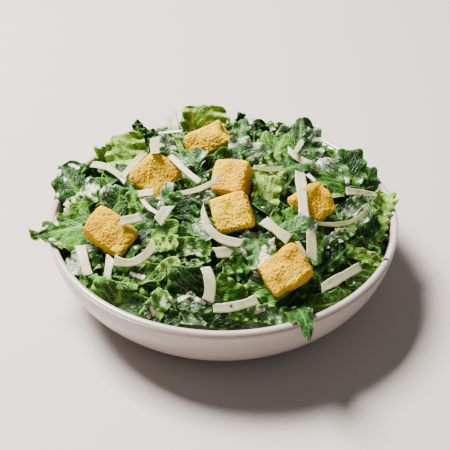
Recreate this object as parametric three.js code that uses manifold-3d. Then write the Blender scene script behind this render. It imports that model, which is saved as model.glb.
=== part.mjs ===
// Caesar salad in its bowl: a low round ceramic bowl, heaped with dressed romaine leaves,
// large croutons and shavings of hard cheese.
// Millimetres, +Z up. The origin is the centre of the bowl's flat foot.

import * as THREE from 'three';
import { mergeVertices } from 'three/addons/utils/BufferGeometryUtils.js';
import Module from 'manifold-3d';

const wasm = await Module();
wasm.setup();

// ---------------------------------------------------------------- driving dimensions

const BOWL = {
  rimRadius: 108,
  height: 51,
  wall: 4.2,
  lipRadius: 2.1,
  wallRadius: 52, // radius of the wall's curve, seen from the side
  leanAtRim: 3, // degrees between the wall and upright
  leanAtFoot: 84,
  facesOutside: 5, // down the wall's curve
  facesInside: 4,
  facesOnLip: 4,
  segments: 48,
};

const HEAP = {
  crown: 28, // how far the packed core stands above the rim
  reach: 88, // where the core's top passes the level of the rim
  fullness: 2.6, // 2 is a plain dome, more has a flatter top
  cover: 4, // packed leaves on the bare core, below the pieces that show
  lump: 1.6, // unevenness of their top
  edge: 0.55, // how far down the wall's first inner face their edge lies
  segments: 24,
  rings: 8,
};

const RIM_ROOM = { outside: 2.4, over: 1.6, lean: 60 };
const LEAF = { thickness: 1.2, alongStep: 9, acrossStep: 10, shortest: 0.14 };
const SHAVING = { thickness: 1.0, steps: 4, curl: 16 };
const CROUTON = { cells: 3, squareness: 5, crumb: 0.35 };
const DRESSING = { segments: 7, rings: 4, slope: 45 };

const GAP = 0.3; // between pieces that touch

// The pieces are laid out on a sheet of 450 by 450 points, as the diner sees the bowl, and
// each one is dropped along the diner's line of sight until it lies on the heap.
const SIGHT = {
  middle: 225,
  focal: 1000,
  elevation: 37.7,
  distance: 5.75 * BOWL.rimRadius,
  rimCentre: [222.6, 211.4],
};

const COLOURS = {
  bowl: 0xeeebe8,
  leaves: 0x3f7a2c,
  crouton: 0xe9b24a,
  shaving: 0xe9e3cc,
};

// ---------------------------------------------------------------- small helpers

const radians = THREE.MathUtils.degToRad;
const vector = (x, y, z) => new THREE.Vector3(x, y, z);

/** Repeatable random numbers from 0 to 1. */
function seeded(seed) {
  let state = seed;
  return () => {
    state = (state + 0x6d2b79f5) | 0;
    let mixed = Math.imul(state ^ (state >>> 15), 1 | state);
    mixed = (mixed + Math.imul(mixed ^ (mixed >>> 7), 61 | mixed)) ^ mixed;
    return ((mixed ^ (mixed >>> 14)) >>> 0) / 4294967296;
  };
}

/** A closed geometry as a solid that can be joined and cut. */
function toSolid(geometry) {
  const bare = geometry.clone();
  bare.deleteAttribute('normal');
  bare.deleteAttribute('uv');
  const merged = mergeVertices(bare, 1e-4);
  return new wasm.Manifold(new wasm.Mesh({
    numProp: 3,
    vertProperties: new Float32Array(merged.attributes.position.array),
    triVerts: new Uint32Array(merged.index.array),
  }));
}

/** A solid back as a geometry. */
function toGeometry(solid) {
  const mesh = solid.getMesh();
  const geometry = new THREE.BufferGeometry();
  geometry.setAttribute('position', new THREE.BufferAttribute(mesh.vertProperties, mesh.numProp));
  geometry.setIndex(new THREE.BufferAttribute(mesh.triVerts, 1));
  geometry.computeVertexNormals();
  return geometry;
}

/** A grid of points, (across + 1) to each row, thickened into a sheet with two like faces. */
function sheetGeometry(points, along, across, thickness) {
  const at = (i, j) => points[i * (across + 1) + j];
  const both = [];
  for (const side of [1, -1]) {
    for (let i = 0; i <= along; i++) {
      for (let j = 0; j <= across; j++) {
        const lengthways = at(Math.min(i + 1, along), j).clone().sub(at(Math.max(i - 1, 0), j));
        const sideways = at(i, Math.min(j + 1, across)).clone().sub(at(i, Math.max(j - 1, 0)));
        const normal = lengthways.cross(sideways).normalize();
        both.push(at(i, j).clone().addScaledVector(normal, side * thickness / 2));
      }
    }
  }
  const lower = (along + 1) * (across + 1);
  const index = [];
  const quad = (a, b, c, d) => index.push(a, b, c, a, c, d);
  for (let i = 0; i < along; i++) {
    for (let j = 0; j < across; j++) {
      const a = i * (across + 1) + j;
      const b = a + across + 1;
      quad(a, b, b + 1, a + 1);
      index.push(lower + a, lower + b + 1, lower + b, lower + a, lower + a + 1, lower + b + 1);
    }
  }
  for (let i = 0; i < along; i++) {
    const a = i * (across + 1);
    const b = a + across + 1;
    quad(a, lower + a, lower + b, b);
    quad(b + across, lower + b + across, lower + a + across, a + across);
  }
  for (let j = 0; j < across; j++) {
    const far = along * (across + 1) + j;
    quad(j + 1, lower + j + 1, lower + j, j);
    quad(far, lower + far, lower + far + 1, far + 1);
  }
  const geometry = new THREE.BufferGeometry().setFromPoints(both);
  geometry.setIndex(index);
  return geometry;
}

// ---------------------------------------------------------------- bowl

const wallCentre = {
  r: BOWL.rimRadius - BOWL.wallRadius * Math.cos(radians(BOWL.leanAtRim)),
  z: BOWL.wallRadius * Math.sin(radians(BOWL.leanAtFoot)),
};

/** Points down the wall's curve, set in by `inset` from the outer face. */
function wallArc(inset, steps, lean0 = BOWL.leanAtRim, lean1 = BOWL.leanAtFoot) {
  const points = [];
  for (let k = 0; k <= steps; k++) {
    const lean = radians(THREE.MathUtils.lerp(lean0, lean1, k / steps));
    const radius = BOWL.wallRadius - inset;
    points.push(new THREE.Vector2(
      wallCentre.r + radius * Math.cos(lean), wallCentre.z - radius * Math.sin(lean)));
  }
  return points;
}

/** A point on the round lip, `turn` up from its outer side. */
function onLip(turn, radius) {
  return new THREE.Vector2(
    BOWL.rimRadius - BOWL.lipRadius + radius * Math.cos(turn),
    BOWL.height - BOWL.lipRadius + radius * Math.sin(turn));
}

/** The bowl's section, from the foot's centre round the lip to the floor's centre. */
function bowlProfile() {
  const outer = wallArc(0, BOWL.facesOutside).reverse();
  const inner = wallArc(BOWL.wall, BOWL.facesInside);
  const lip = [];
  for (let k = 0; k <= BOWL.facesOnLip; k++) {
    lip.push(onLip(Math.PI * k / BOWL.facesOnLip, BOWL.lipRadius));
  }
  const foot = new THREE.Vector2(0, outer[0].y);
  const floor = new THREE.Vector2(0, inner[inner.length - 1].y);
  return [foot, ...outer, ...lip, ...inner, floor];
}

function bowlGeometry() {
  return standing(new THREE.LatheGeometry(bowlProfile(), BOWL.segments));
}

/** The room that the wall and lip need, with coarser faces: no leaf may reach into it. */
function rimRoomSolid() {
  const outside = wallArc(-RIM_ROOM.outside, 3, BOWL.leanAtRim, RIM_ROOM.lean);
  const over = [0.3, 0.7, 1].map((turn) => (
    onLip(Math.PI * turn, BOWL.lipRadius + RIM_ROOM.over)));
  const inside = wallArc(BOWL.wall + GAP, BOWL.facesInside).slice(1, 2);
  const section = [...outside.reverse(), ...over, ...inside];
  return toSolid(standing(new THREE.LatheGeometry([...section, section[0]], HEAP.segments)));
}

/** A lathe turns about Y: this stands it on +Z with the seam on +X. */
function standing(lathe) {
  return lathe.rotateY(-Math.PI / 2).rotateX(Math.PI / 2);
}

// ---------------------------------------------------------------- heap's core

/** Height of the bare core above the foot, at a place seen from above. */
function coreHeight(x, y) {
  const r = Math.min(Math.hypot(x, y), wallCentre.r + BOWL.wallRadius);
  const dome = HEAP.crown * (1 - (r / HEAP.reach) ** HEAP.fullness);
  return BOWL.height + dome;
}

/** Direction that points straight out of the core's top. */
function coreNormal(x, y) {
  const step = 0.5;
  return vector(
    coreHeight(x - step, y) - coreHeight(x + step, y),
    coreHeight(x, y - step) - coreHeight(x, y + step),
    2 * step).normalize();
}

/** The packed leaves inside the bowl: they fill it, and rise in an uneven dome. */
function coreSolid() {
  const [rim, next, ...rest] = wallArc(BOWL.wall + GAP, BOWL.facesInside);
  const edge = rim.lerp(next, HEAP.edge);
  const side = [edge, next, ...rest].reverse();
  const profile = [new THREE.Vector2(0, side[0].y), ...side];
  for (let k = 1; k <= HEAP.rings; k++) {
    const r = edge.x * (1 - k / HEAP.rings);
    const cover = HEAP.cover * Math.min(1, 3 * k / HEAP.rings);
    profile.push(new THREE.Vector2(r, coreHeight(r, 0) + cover));
  }
  const geometry = standing(new THREE.LatheGeometry(profile, HEAP.segments));
  const place = geometry.attributes.position;
  for (let k = 0; k < place.count; k++) {
    const [x, y, z] = [place.getX(k), place.getY(k), place.getZ(k)];
    if (z > edge.y + 1) {
      place.setZ(k, z + HEAP.lump * (Math.sin(x / 9 + 1) + Math.cos(y / 8 - 0.6)));
    }
  }
  return toSolid(geometry);
}

// ---------------------------------------------------------------- line of sight

const sight = (() => {
  const [across, down] = SIGHT.rimCentre.map((place) => place - SIGHT.middle);
  const elevation = radians(SIGHT.elevation);
  const eye = vector(0, -Math.cos(elevation), Math.sin(elevation))
    .multiplyScalar(SIGHT.distance)
    .add(vector(0, 0, BOWL.height));
  const tip = Math.atan2(down, SIGHT.focal);
  const pitch = elevation - tip;
  const yaw = -Math.atan2(across, SIGHT.focal / Math.cos(tip));
  const forward = vector(
    Math.sin(yaw) * Math.cos(pitch), Math.cos(yaw) * Math.cos(pitch), -Math.sin(pitch));
  const right = forward.clone().cross(vector(0, 0, 1)).normalize();
  const up = right.clone().cross(forward);
  return { eye, forward, right, up };
})();

/** The place where the line of sight through a sheet point comes down to `lift` above the core. */
function onHeap([column, row], lift) {
  const ray = sight.forward.clone()
    .addScaledVector(sight.right, (column - SIGHT.middle) / SIGHT.focal)
    .addScaledVector(sight.up, (SIGHT.middle - row) / SIGHT.focal)
    .normalize();
  const step = 0.25;
  const start = (BOWL.height + HEAP.crown + 60 - sight.eye.z) / ray.z;
  const place = sight.eye.clone().addScaledVector(ray, start);
  while (place.z > coreHeight(place.x, place.y) + lift) {
    place.addScaledVector(ray, step);
  }
  return place;
}

// ---------------------------------------------------------------- leaves and shavings

/** How wide a piece is, from its base (0) to its tip (1), as a share of its full width. */
const OUTLINES = {
  torn: (u) => 0.62 + 0.38 * Math.sqrt(1 - (2 * u - 1) ** 4),
  tip: (u) => Math.sqrt(Math.max(0, 1 - (Math.abs(2 * u - 0.75) / 1.25) ** 2.4)),
  point: (u) => 1 - u ** 1.7,
  strip: () => 1,
};

/** Grid of points on a wavy piece that runs from `base` to `tip`. */
function waveGrid(piece, base, tip, along, across) {
  const middle = base.clone().add(tip).multiplyScalar(0.5);
  const forward = tip.clone().sub(base);
  const length = forward.length();
  forward.normalize();
  const outward = coreNormal(middle.x, middle.y).multiplyScalar(1 - piece.face);
  outward.addScaledVector(sight.eye.clone().sub(middle).normalize(), piece.face);
  outward.addScaledVector(forward, -outward.dot(forward)).normalize();
  const left = outward.clone().cross(forward);
  const bend = radians(piece.bend) + 1e-6;
  const cup = radians(piece.cup) + 1e-6;
  const rise = length * (1 - Math.cos(bend / 2)) / bend / 2;
  const points = [];
  for (let i = 0; i <= along; i++) {
    const u = i / along;
    const turn = bend * (u - 0.5);
    const half = piece.width / 2 * Math.max(OUTLINES[piece.shape](u), LEAF.shortest);
    for (let j = 0; j <= across; j++) {
      const v = 2 * j / across - 1;
      const fold = cup * v / 2;
      const phase = v < 0 ? 2.1 : 0;
      const ruffle = piece.ruffle * v * v * Math.sin(2 * Math.PI * piece.waves * u + phase);
      const y = half * Math.sin(fold) / (cup / 2) + piece.bow * 4 * u * (1 - u);
      const z = half * (1 - Math.cos(fold)) / (cup / 2) + ruffle;
      const x = length * Math.sin(turn) / bend + z * Math.sin(turn);
      const height = rise - length * (1 - Math.cos(turn)) / bend + z * Math.cos(turn);
      points.push(middle.clone()
        .addScaledVector(forward, x).addScaledVector(left, y).addScaledVector(outward, height));
    }
  }
  return points;
}

const LEAF_HABIT = {
  shape: 'torn', face: 0.5, bend: 20, cup: 20, ruffle: 2.5, waves: 3, bow: 0,
};

/** One piece of leaf. `from` and `to` are sheet points, `lift` is the height of each. */
function leafSolid(from, to, lift, width, habit = {}) {
  const piece = { ...LEAF_HABIT, ...habit, width };
  const base = onHeap(from, lift[0]);
  const tip = onHeap(to, lift[1]);
  const along = THREE.MathUtils.clamp(Math.round(base.distanceTo(tip) / LEAF.alongStep), 3, 9);
  const across = THREE.MathUtils.clamp(Math.round(width / LEAF.acrossStep), 2, 4);
  const points = waveGrid(piece, base, tip, along, across);
  return toSolid(sheetGeometry(points, along, across, LEAF.thickness));
}

/** One shaving of cheese: a thin ribbon with a slight curl. */
function shavingGeometry([from, to, lift, width, habit], grow = 0, steps = SHAVING.steps) {
  const piece = {
    shape: 'strip', face: 0.5, bend: 12, cup: SHAVING.curl, ruffle: 0, waves: 1, bow: 0, ...habit,
    width: width + 2 * grow,
  };
  const base = onHeap(from, lift[0]);
  const tip = onHeap(to, lift[1]);
  const extra = tip.clone().sub(base).setLength(grow);
  const points = waveGrid(piece, base.sub(extra), tip.add(extra), steps, 1);
  return sheetGeometry(points, steps, 1, SHAVING.thickness + 2 * grow);
}

// ---------------------------------------------------------------- what lies in the heap

// Each leaf: from, to, lift of both ends above the core, width, habit. They are listed by
// region: the big pieces that show, each with the narrow ones tucked in round it.
const LEAVES = [
  // left, one of them lying out over the rim
  [[100, 224], [30, 236], [2, 19], 38, { shape: 'point', face: 0.2, cup: 15, waves: 4 }],
  [[86, 202], [60, 166], [-1, 28], 27, { shape: 'tip', cup: -15 }],
  [[98, 184], [90, 164], [-1, 17], 12, { shape: 'tip' }],
  [[106, 203], [84, 184], [3, 11], 13, { face: 0.4 }],
  [[70, 218], [104, 200], [1, 10], 12, { face: 0.4, ruffle: 3 }],
  [[102, 258], [64, 268], [2, 8], 16, { shape: 'tip', ruffle: 2 }],
  [[100, 275], [94, 250], [-1, 8], 10, {}],
  // back left
  [[128, 178], [121, 133], [-1, 26], 26, { face: 0.6, cup: -30, waves: 4 }],
  [[112, 168], [100, 148], [-1, 23], 12, { shape: 'tip' }],
  [[146, 162], [142, 132], [-1, 17], 11, { face: 0.6 }],
  [[169, 158], [167, 131], [1, 16], 11, { shape: 'tip', face: 0.6 }],
  [[186, 152], [183, 133], [1, 12], 9, { face: 0.6 }],
  // back, standing up behind the croutons
  [[203, 142], [203, 105], [0, 25], 30, { face: 0.7, ruffle: 3, waves: 4 }],
  [[214, 140], [220, 112], [0, 18], 16, { shape: 'tip', face: 0.7 }],
  [[170, 163], [206, 158], [4, 11], 12, {}],
  [[190, 178], [240, 152], [2, 14], 13, { face: 0.75, bend: 35 }],
  [[238, 150], [243, 118], [3, 18], 11, { shape: 'tip', face: 0.7, cup: 40 }],
  [[259, 140], [258, 119], [2, 16], 12, { shape: 'tip', face: 0.7 }],
  [[270, 160], [229, 144], [5, 15], 14, {}],
  // back right
  [[300, 162], [300, 118], [-1, 25], 33, { shape: 'tip', face: 0.6, ruffle: 3, waves: 4 }],
  [[280, 142], [279, 122], [1, 16], 9, { shape: 'tip', face: 0.6 }],
  [[300, 164], [262, 164], [3, 9], 12, { waves: 4 }],
  [[290, 184], [252, 171], [1, 11], 10, { ruffle: 2, waves: 4 }],
  [[262, 214], [268, 176], [-1, 12], 15, { ruffle: 2 }],
  [[338, 192], [331, 158], [0, 14], 16, { ruffle: 1.5 }],
  [[354, 192], [349, 150], [-1, 22], 17, { shape: 'tip', face: 0.6, cup: 40 }],
  [[358, 192], [372, 170], [-2, 21], 13, { shape: 'tip', face: 0.6, cup: 30 }],
  // right, along the rim
  [[374, 238], [389, 192], [0, 19], 13, { face: 0.3, waves: 6 }],
  [[336, 214], [371, 204], [3, 12], 14, { face: 0.4, ruffle: 2 }],
  [[352, 250], [378, 222], [-2, 13], 14, { face: 0.4 }],
  [[322, 248], [352, 230], [2, 11], 11, { bend: 25 }],
  [[314, 272], [346, 244], [1, 10], 15, {}],
  [[340, 266], [374, 244], [0, 8], 14, { face: 0.4 }],
  [[345, 250], [380, 262], [4, 14], 8, { ruffle: 1.5 }],
  [[344, 288], [384, 258], [0, 15], 13, { face: 0.4, ruffle: 2, waves: 4 }],
  [[298, 305], [347, 297], [0, 8], 10, { face: 0.3, ruffle: 1.5 }],
  [[298, 292], [338, 284], [-2, 6], 14, { face: 0.4 }],
  // front, one of them hanging out over the rim
  [[291, 300], [309, 340], [3, 24], 19, { shape: 'point', bend: 45, cup: -25, bow: 2 }],
  [[252, 312], [300, 318], [3, 10], 11, { waves: 5 }],
  [[276, 316], [230, 311], [3, 9], 10, { ruffle: 3, waves: 5 }],
  [[174, 301], [212, 307], [3, 9], 9, {}],
  [[150, 320], [166, 292], [0, 10], 13, {}],
  [[146, 314], [180, 322], [-1, 5], 11, {}],
  [[206, 312], [242, 326], [0, 5], 14, {}],
  // front left
  [[148, 248], [178, 241], [3, 11], 9, { face: 0.6, waves: 4 }],
  [[170, 249], [211, 247], [4, 11], 11, { face: 0.95, bend: 30, cup: 60, ruffle: 2 }],
  [[156, 257], [204, 256], [3, 6], 8, { face: 0.6, cup: 40, ruffle: 1 }],
  [[150, 240], [180, 224], [4, 12], 11, { shape: 'tip', ruffle: 2 }],
  [[161, 276], [179, 259], [6, 11], 10, { shape: 'tip', face: 0.7, ruffle: 1 }],
  [[186, 300], [187, 266], [1, 12], 23, { face: 0.7, cup: -30, ruffle: 1.5 }],
  [[114, 280], [166, 271], [1, 10], 12, { ruffle: 2 }],
  [[86, 289], [128, 281], [2, 9], 7, { face: 0.4, ruffle: 1.5 }],
  [[96, 293], [138, 294], [1, 5], 17, { face: 0.9, ruffle: 1, bend: 10, cup: -30 }],
  [[92, 292], [97, 278], [-1, 12], 11, { shape: 'tip' }],
  // middle
  [[112, 224], [118, 186], [-1, 12], 20, { ruffle: 2 }],
  [[142, 222], [130, 184], [1, 14], 9, { shape: 'tip', face: 0.6 }],
  [[158, 226], [170, 183], [2, 16], 8, { face: 0.6, cup: 50, ruffle: 1 }],
  [[186, 206], [177, 180], [0, 12], 10, { shape: 'tip', face: 0.6, cup: 50 }],
  [[172, 230], [190, 197], [1, 12], 20, { waves: 4 }],
  [[194, 214], [210, 190], [2, 14], 10, { cup: 40 }],
  [[188, 224], [214, 236], [3, 12], 11, { ruffle: 1.5 }],
  [[257, 233], [266, 268], [5, 11], 19, { face: 0.6, ruffle: 2, waves: 4 }],
  [[240, 252], [258, 240], [2, 6], 14, { ruffle: 3 }],
  [[242, 300], [216, 280], [2, 9], 14, { ruffle: 2 }],
  [[210, 286], [244, 262], [0, 6], 16, {}],
  [[244, 268], [282, 300], [1, 8], 17, {}],
  [[282, 240], [314, 216], [4, 15], 15, { bend: 10, ruffle: 1 }],
  [[316, 222], [314, 264], [4, 9], 10, { cup: 40, ruffle: 1 }],
];

// Pieces that cover the far side of the heap: two arcs of them, behind the standing leaves.
const FAR_SIDE = { arcs: [[62, 4], [84, 7]], length: 38, width: 22, lift: 5 };

// Each crouton: middle, lift above the core, size, and how it is turned: `tilt` leans its
// top to the diner, `spin` turns it in its own plane and `yaw` swings it round.
const CROUTONS = [
  { at: [208, 142], lift: 9, size: [26, 17, 17], yaw: -14, tilt: 48, spin: 36 },
  { at: [155, 177], lift: 8, size: [24, 24, 17], yaw: 10, tilt: 45, spin: 40 },
  { at: [232, 179], lift: 9, size: [21, 20, 17], yaw: -25, tilt: 40, spin: 10 },
  { at: [232, 214], lift: 9, size: [22, 21, 17], yaw: -10, tilt: 42, spin: 22 },
  { at: [110, 233], lift: 9, size: [29, 20, 17], yaw: 8, tilt: 38, spin: -42 },
  { at: [312, 204], lift: 9, size: [20, 21, 16], yaw: 55, tilt: 41, spin: -10 },
  { at: [284, 272], lift: 9, size: [26, 21, 17], yaw: 0, tilt: 32, spin: 35 },
];

// Each shaving of cheese: from, to, lift of both ends above the core, width, habit.
const SHAVINGS = [
  [[171, 114], [175, 133], [23, 13], 7, { face: 0.6 }],
  [[155, 137], [155, 153], [18, 25], 6, { face: 0.7 }],
  [[144, 153], [122, 177], [17, 17], 4.4, {}],
  [[91, 164], [125, 181], [20, 12], 4.4, { bow: 2.5 }],
  [[170, 155], [200, 182], [19, 15], 3.8, { bow: -0.8 }],
  [[181, 193], [219, 178], [14, 17], 3.6, { bow: -2 }],
  [[138, 194], [154, 192], [15, 15], 4, {}],
  [[144, 199], [164, 198], [11, 11], 1.6, {}],
  [[141, 197], [160, 214], [13, 13], 2.6, { bow: -1.5 }],
  [[169, 206], [158, 222], [15, 14], 6.5, {}],
  [[202, 207], [243, 243], [15, 15], 5.2, { bow: -7, face: 0.6 }],
  [[215, 253], [233, 252], [11, 11], 6, {}],
  [[120, 222], [141, 217], [17, 14], 6, {}],
  [[114, 260], [153, 246], [13, 13], 5.2, { bow: -5 }],
  [[80, 245], [88, 275], [13, 12], 6.2, {}],
  [[111, 257], [107, 278], [12, 13], 5, {}],
  [[205, 267], [208, 301], [13, 13], 6, { bend: 25, bow: 2 }],
  [[213, 308], [257, 299], [12, 13], 5.6, { bow: -1.5 }],
  [[311, 230], [312, 260], [15, 13], 6.2, { bend: 25 }],
  [[263, 220], [289, 240], [12, 14], 6, {}],
  [[297, 241], [306, 256], [17, 17.5], 2.4, {}],
  [[322, 288], [361, 266], [12, 12], 5.4, { bend: 20 }],
  [[314, 222], [368, 210], [14, 15], 3, { bow: -5 }],
  [[335, 230], [355, 231], [11.5, 12], 2.4, {}],
  [[347, 191], [379, 196], [14, 13], 4.8, {}],
  [[288, 149], [319, 167], [14, 13], 4.8, { bow: -2 }],
  [[303, 140], [295, 153], [17, 16], 3, {}],
  [[254, 167], [284, 168], [15, 13], 3, { bow: -1.5 }],
  [[300, 172], [304, 215], [19.5, 22.5], 6.2, { bend: 4 }],
  [[307, 174], [315, 181], [14, 15], 2.4, {}],
  [[65, 202], [73, 209], [14, 14], 4, {}],
  [[160, 133], [182, 131], [17, 17], 1.8, {}],
];

// Each thick drop of dressing: middle, lift, half sizes across, along and deep.
const DROPS = [
  [[263, 264], 5, [2.8, 4.4, 2.2]],
  [[164, 300], 11, [2.2, 4, 1.8]],
  [[188, 296], 8, [4, 2.6, 1.8]],
  [[93, 198], 12, [2.6, 2.6, 2]],
  [[139, 276], 8, [3.8, 2.4, 1.6]],
  [[258, 312], 5, [3.4, 2.2, 1.8]],
];

// ---------------------------------------------------------------- solids

/** The arcs of leaf pieces on the far side, each turned and tipped at random. */
function farSideLeaves() {
  const random = seeded(11);
  const spread = (amount) => amount * (2 * random() - 1);
  const solids = [];
  for (const [radius, count] of FAR_SIDE.arcs) {
    for (let k = 0; k < count; k++) {
      const round = Math.PI * (0.06 + 0.88 * (k + 0.5 + spread(0.2)) / count);
      const r = radius + spread(5);
      const heading = Math.PI * random();
      const half = FAR_SIDE.length * (1 + spread(0.2)) / 2;
      const end = (side) => {
        const x = r * Math.cos(round) + side * half * Math.cos(heading);
        const y = r * Math.sin(round) + side * half * Math.sin(heading);
        return vector(x, y, coreHeight(x, y) + FAR_SIDE.lift + spread(3));
      };
      const habit = { face: 0, bend: spread(30), cup: spread(50), ruffle: 2.5, waves: 2 };
      const piece = { ...LEAF_HABIT, ...habit, width: FAR_SIDE.width * (1 + spread(0.3)) };
      const points = waveGrid(piece, end(-1), end(1), 4, 2);
      solids.push(toSolid(sheetGeometry(points, 4, 2, LEAF.thickness)));
    }
  }
  return solids;
}

/** A cube of toast with rounded, uneven faces. */
function croutonGeometry({ at, lift, size, yaw, tilt, spin }) {
  const cells = CROUTON.cells;
  const geometry = new THREE.BoxGeometry(2, 2, 2, cells, cells, cells);
  const place = geometry.attributes.position;
  const point = new THREE.Vector3();
  const power = CROUTON.squareness;
  for (let k = 0; k < place.count; k++) {
    point.fromBufferAttribute(place, k);
    const reach = Math.abs(point.x) ** power + Math.abs(point.y) ** power
      + Math.abs(point.z) ** power;
    point.multiplyScalar(reach ** (-1 / power));
    const crumb = Math.sin(5 * point.x + at[0]) * Math.cos(4 * point.y + at[1]);
    point.multiply(vector(...size.map((side) => side / 2 + CROUTON.crumb * crumb)));
    place.setXYZ(k, point.x, point.y, point.z);
  }
  return seated(geometry, { at, lift, yaw, tilt, spin });
}

/** Turns a crouton's geometry as it lies and sets it on the heap. */
function seated(geometry, { at, lift, yaw, tilt, spin }) {
  const middle = onHeap(at, lift);
  geometry.rotateZ(radians(spin)).rotateX(radians(tilt)).rotateZ(radians(yaw));
  return geometry.translate(middle.x, middle.y, middle.z);
}

/** The plain block of room that a crouton needs. */
function croutonRoomSolid(crouton) {
  const sides = crouton.size.map((side) => side + 2 * (CROUTON.crumb + GAP));
  return toSolid(seated(new THREE.BoxGeometry(...sides), crouton));
}

/** A thick drop of dressing that clings to the leaves. */
function dropSolid([at, lift, half]) {
  const geometry = new THREE.SphereGeometry(1, DRESSING.segments, DRESSING.rings);
  geometry.scale(...half);
  geometry.rotateX(radians(DRESSING.slope));
  const middle = onHeap(at, lift);
  return toSolid(geometry.translate(middle.x, middle.y, middle.z));
}

/** Core, leaves and drops as one solid, clear of the bowl and of all that lies on them. */
function heapGeometry() {
  const pieces = [...LEAVES.map((leaf) => leafSolid(...leaf)), ...farSideLeaves(),
    ...DROPS.map(dropSolid)];
  const croutonRoom = wasm.Manifold.union(CROUTONS.map(croutonRoomSolid));
  const shavingRoom = wasm.Manifold.union(
    SHAVINGS.map((shaving) => toSolid(shavingGeometry(shaving, 2 * GAP, 2))));
  const loose = wasm.Manifold.union(pieces)
    .subtract(rimRoomSolid()).subtract(shavingRoom);
  const bodies = loose.add(coreSolid()).subtract(croutonRoom).decompose();
  return toGeometry(bodies.reduce((best, body) => (body.volume() > best.volume() ? body : best)));
}

// ---------------------------------------------------------------- the part

const part = new THREE.Group();

/** Adds one named piece with its own material. */
function add(name, geometry, color, roughness) {
  const material = new THREE.MeshStandardMaterial({ color, roughness, metalness: 0 });
  const mesh = new THREE.Mesh(geometry, material);
  mesh.name = name;
  part.add(mesh);
}

add('bowl', bowlGeometry(), COLOURS.bowl, 0.25);
add('romaine_heap', heapGeometry(), COLOURS.leaves, 0.5);
CROUTONS.forEach((crouton, k) => {
  add(`crouton_${k + 1}`, croutonGeometry(crouton), COLOURS.crouton, 0.9);
});
SHAVINGS.forEach((shaving, k) => {
  add(`shaving_${k + 1}`, shavingGeometry(shaving), COLOURS.shaving, 0.55);
});

export default part;
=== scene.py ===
"""Caesar salad in its bowl: a glazed bowl heaped with dressed romaine, croutons and cheese.

The pieces are laid out in millimetres, from the centre of the bowl's foot, and become
meshes in metres. Leaves, croutons, shavings and runs of dressing are placed on a sheet of 450
by 450 points, as the diner sees the bowl, and dropped along the line of sight until they lie
on the heap.
"""

import logging
import math
from dataclasses import dataclass, field
from enum import Enum
from functools import cached_property
from itertools import product

import bpy
import numpy as np
from mathutils import Matrix, Vector


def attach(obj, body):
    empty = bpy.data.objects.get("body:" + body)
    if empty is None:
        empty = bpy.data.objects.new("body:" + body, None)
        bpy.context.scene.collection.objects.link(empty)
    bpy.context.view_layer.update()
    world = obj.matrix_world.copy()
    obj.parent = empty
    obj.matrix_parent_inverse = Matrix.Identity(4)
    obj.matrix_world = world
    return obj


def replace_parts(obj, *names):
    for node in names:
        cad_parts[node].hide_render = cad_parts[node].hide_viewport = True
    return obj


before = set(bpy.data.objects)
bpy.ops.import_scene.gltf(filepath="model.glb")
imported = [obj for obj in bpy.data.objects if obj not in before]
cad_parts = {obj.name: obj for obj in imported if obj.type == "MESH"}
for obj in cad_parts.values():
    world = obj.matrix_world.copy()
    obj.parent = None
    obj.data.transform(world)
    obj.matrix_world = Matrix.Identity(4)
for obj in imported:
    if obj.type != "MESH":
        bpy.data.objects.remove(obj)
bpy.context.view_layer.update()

Array = np.ndarray
Colour = tuple[float, float, float]
Place = tuple[float, float, float]
Pair = tuple[float, float]
Socket = bpy.types.NodeSocket
Object = bpy.types.Object
Material = bpy.types.Material
Mesh = bpy.types.Mesh
MM = 0.001
BODY = "root"
TINY = 1e-6  # keeps a quotient finite where its divisor would be nothing
log = logging.getLogger("salad")


# ------------------------------------------------------------------ random numbers and noise

# Large odd numbers that stir a cell's place and a seed into random bits.
STIR = (374761393, 668265263, 1442695041)
STIR_SEED = 1013904223
STIR_AGAIN = (1274126177, 668265263)
WORD = 0xFFFFFFFF

# For scattered seeds: farther off than any can be, in cell sizes, and what sets the axes apart.
FAR_OFF = 9.0
AXIS_SEEDS = 7


def lattice(places: Array, seed: int) -> Array:
    """Repeatable random numbers for whole-numbered cells of space.

    Args:
        places: whole-numbered places, three numbers each.
        seed: chooses another set of numbers.

    Returns:
        One number from 0 to 1 for each cell.
    """
    cell = places.astype(np.int64)
    mixed = sum(cell[..., axis] * STIR[axis] for axis in range(3))
    mixed = (mixed + seed * STIR_SEED) & WORD
    mixed = ((mixed ^ (mixed >> 13)) * STIR_AGAIN[0]) & WORD
    mixed = ((mixed ^ (mixed >> 15)) * STIR_AGAIN[1]) & WORD
    return (mixed ^ (mixed >> 16)) / WORD


def eased(share: Array) -> Array:
    """A share from 0 to 1, made to start and stop softly."""
    return share * share * (3 - 2 * share)


def noise(points: Array, size: float, seed: int, octaves: int = 1) -> Array:
    """Smooth noise over space.

    Args:
        points: places in millimetres.
        size: width of one bump in millimetres.
        seed: chooses another pattern.
        octaves: layers, each half as large and half as strong as the one before.

    Returns:
        One number from -1 to 1 for each point.
    """
    total, strength, reach = 0.0, 1.0, 0.0
    for octave in range(octaves):
        place = points / size * 2**octave
        cell = np.floor(place)
        share = eased(place - cell)
        value = 0.0
        for corner in product((0, 1), repeat=3):
            weight = np.prod(np.where(corner, share, 1 - share), axis=-1)
            value = value + weight * lattice(cell + corner, seed + octave)
        total = total + strength * (2 * value - 1)
        reach += strength
        strength /= 2
    return total / reach


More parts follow.
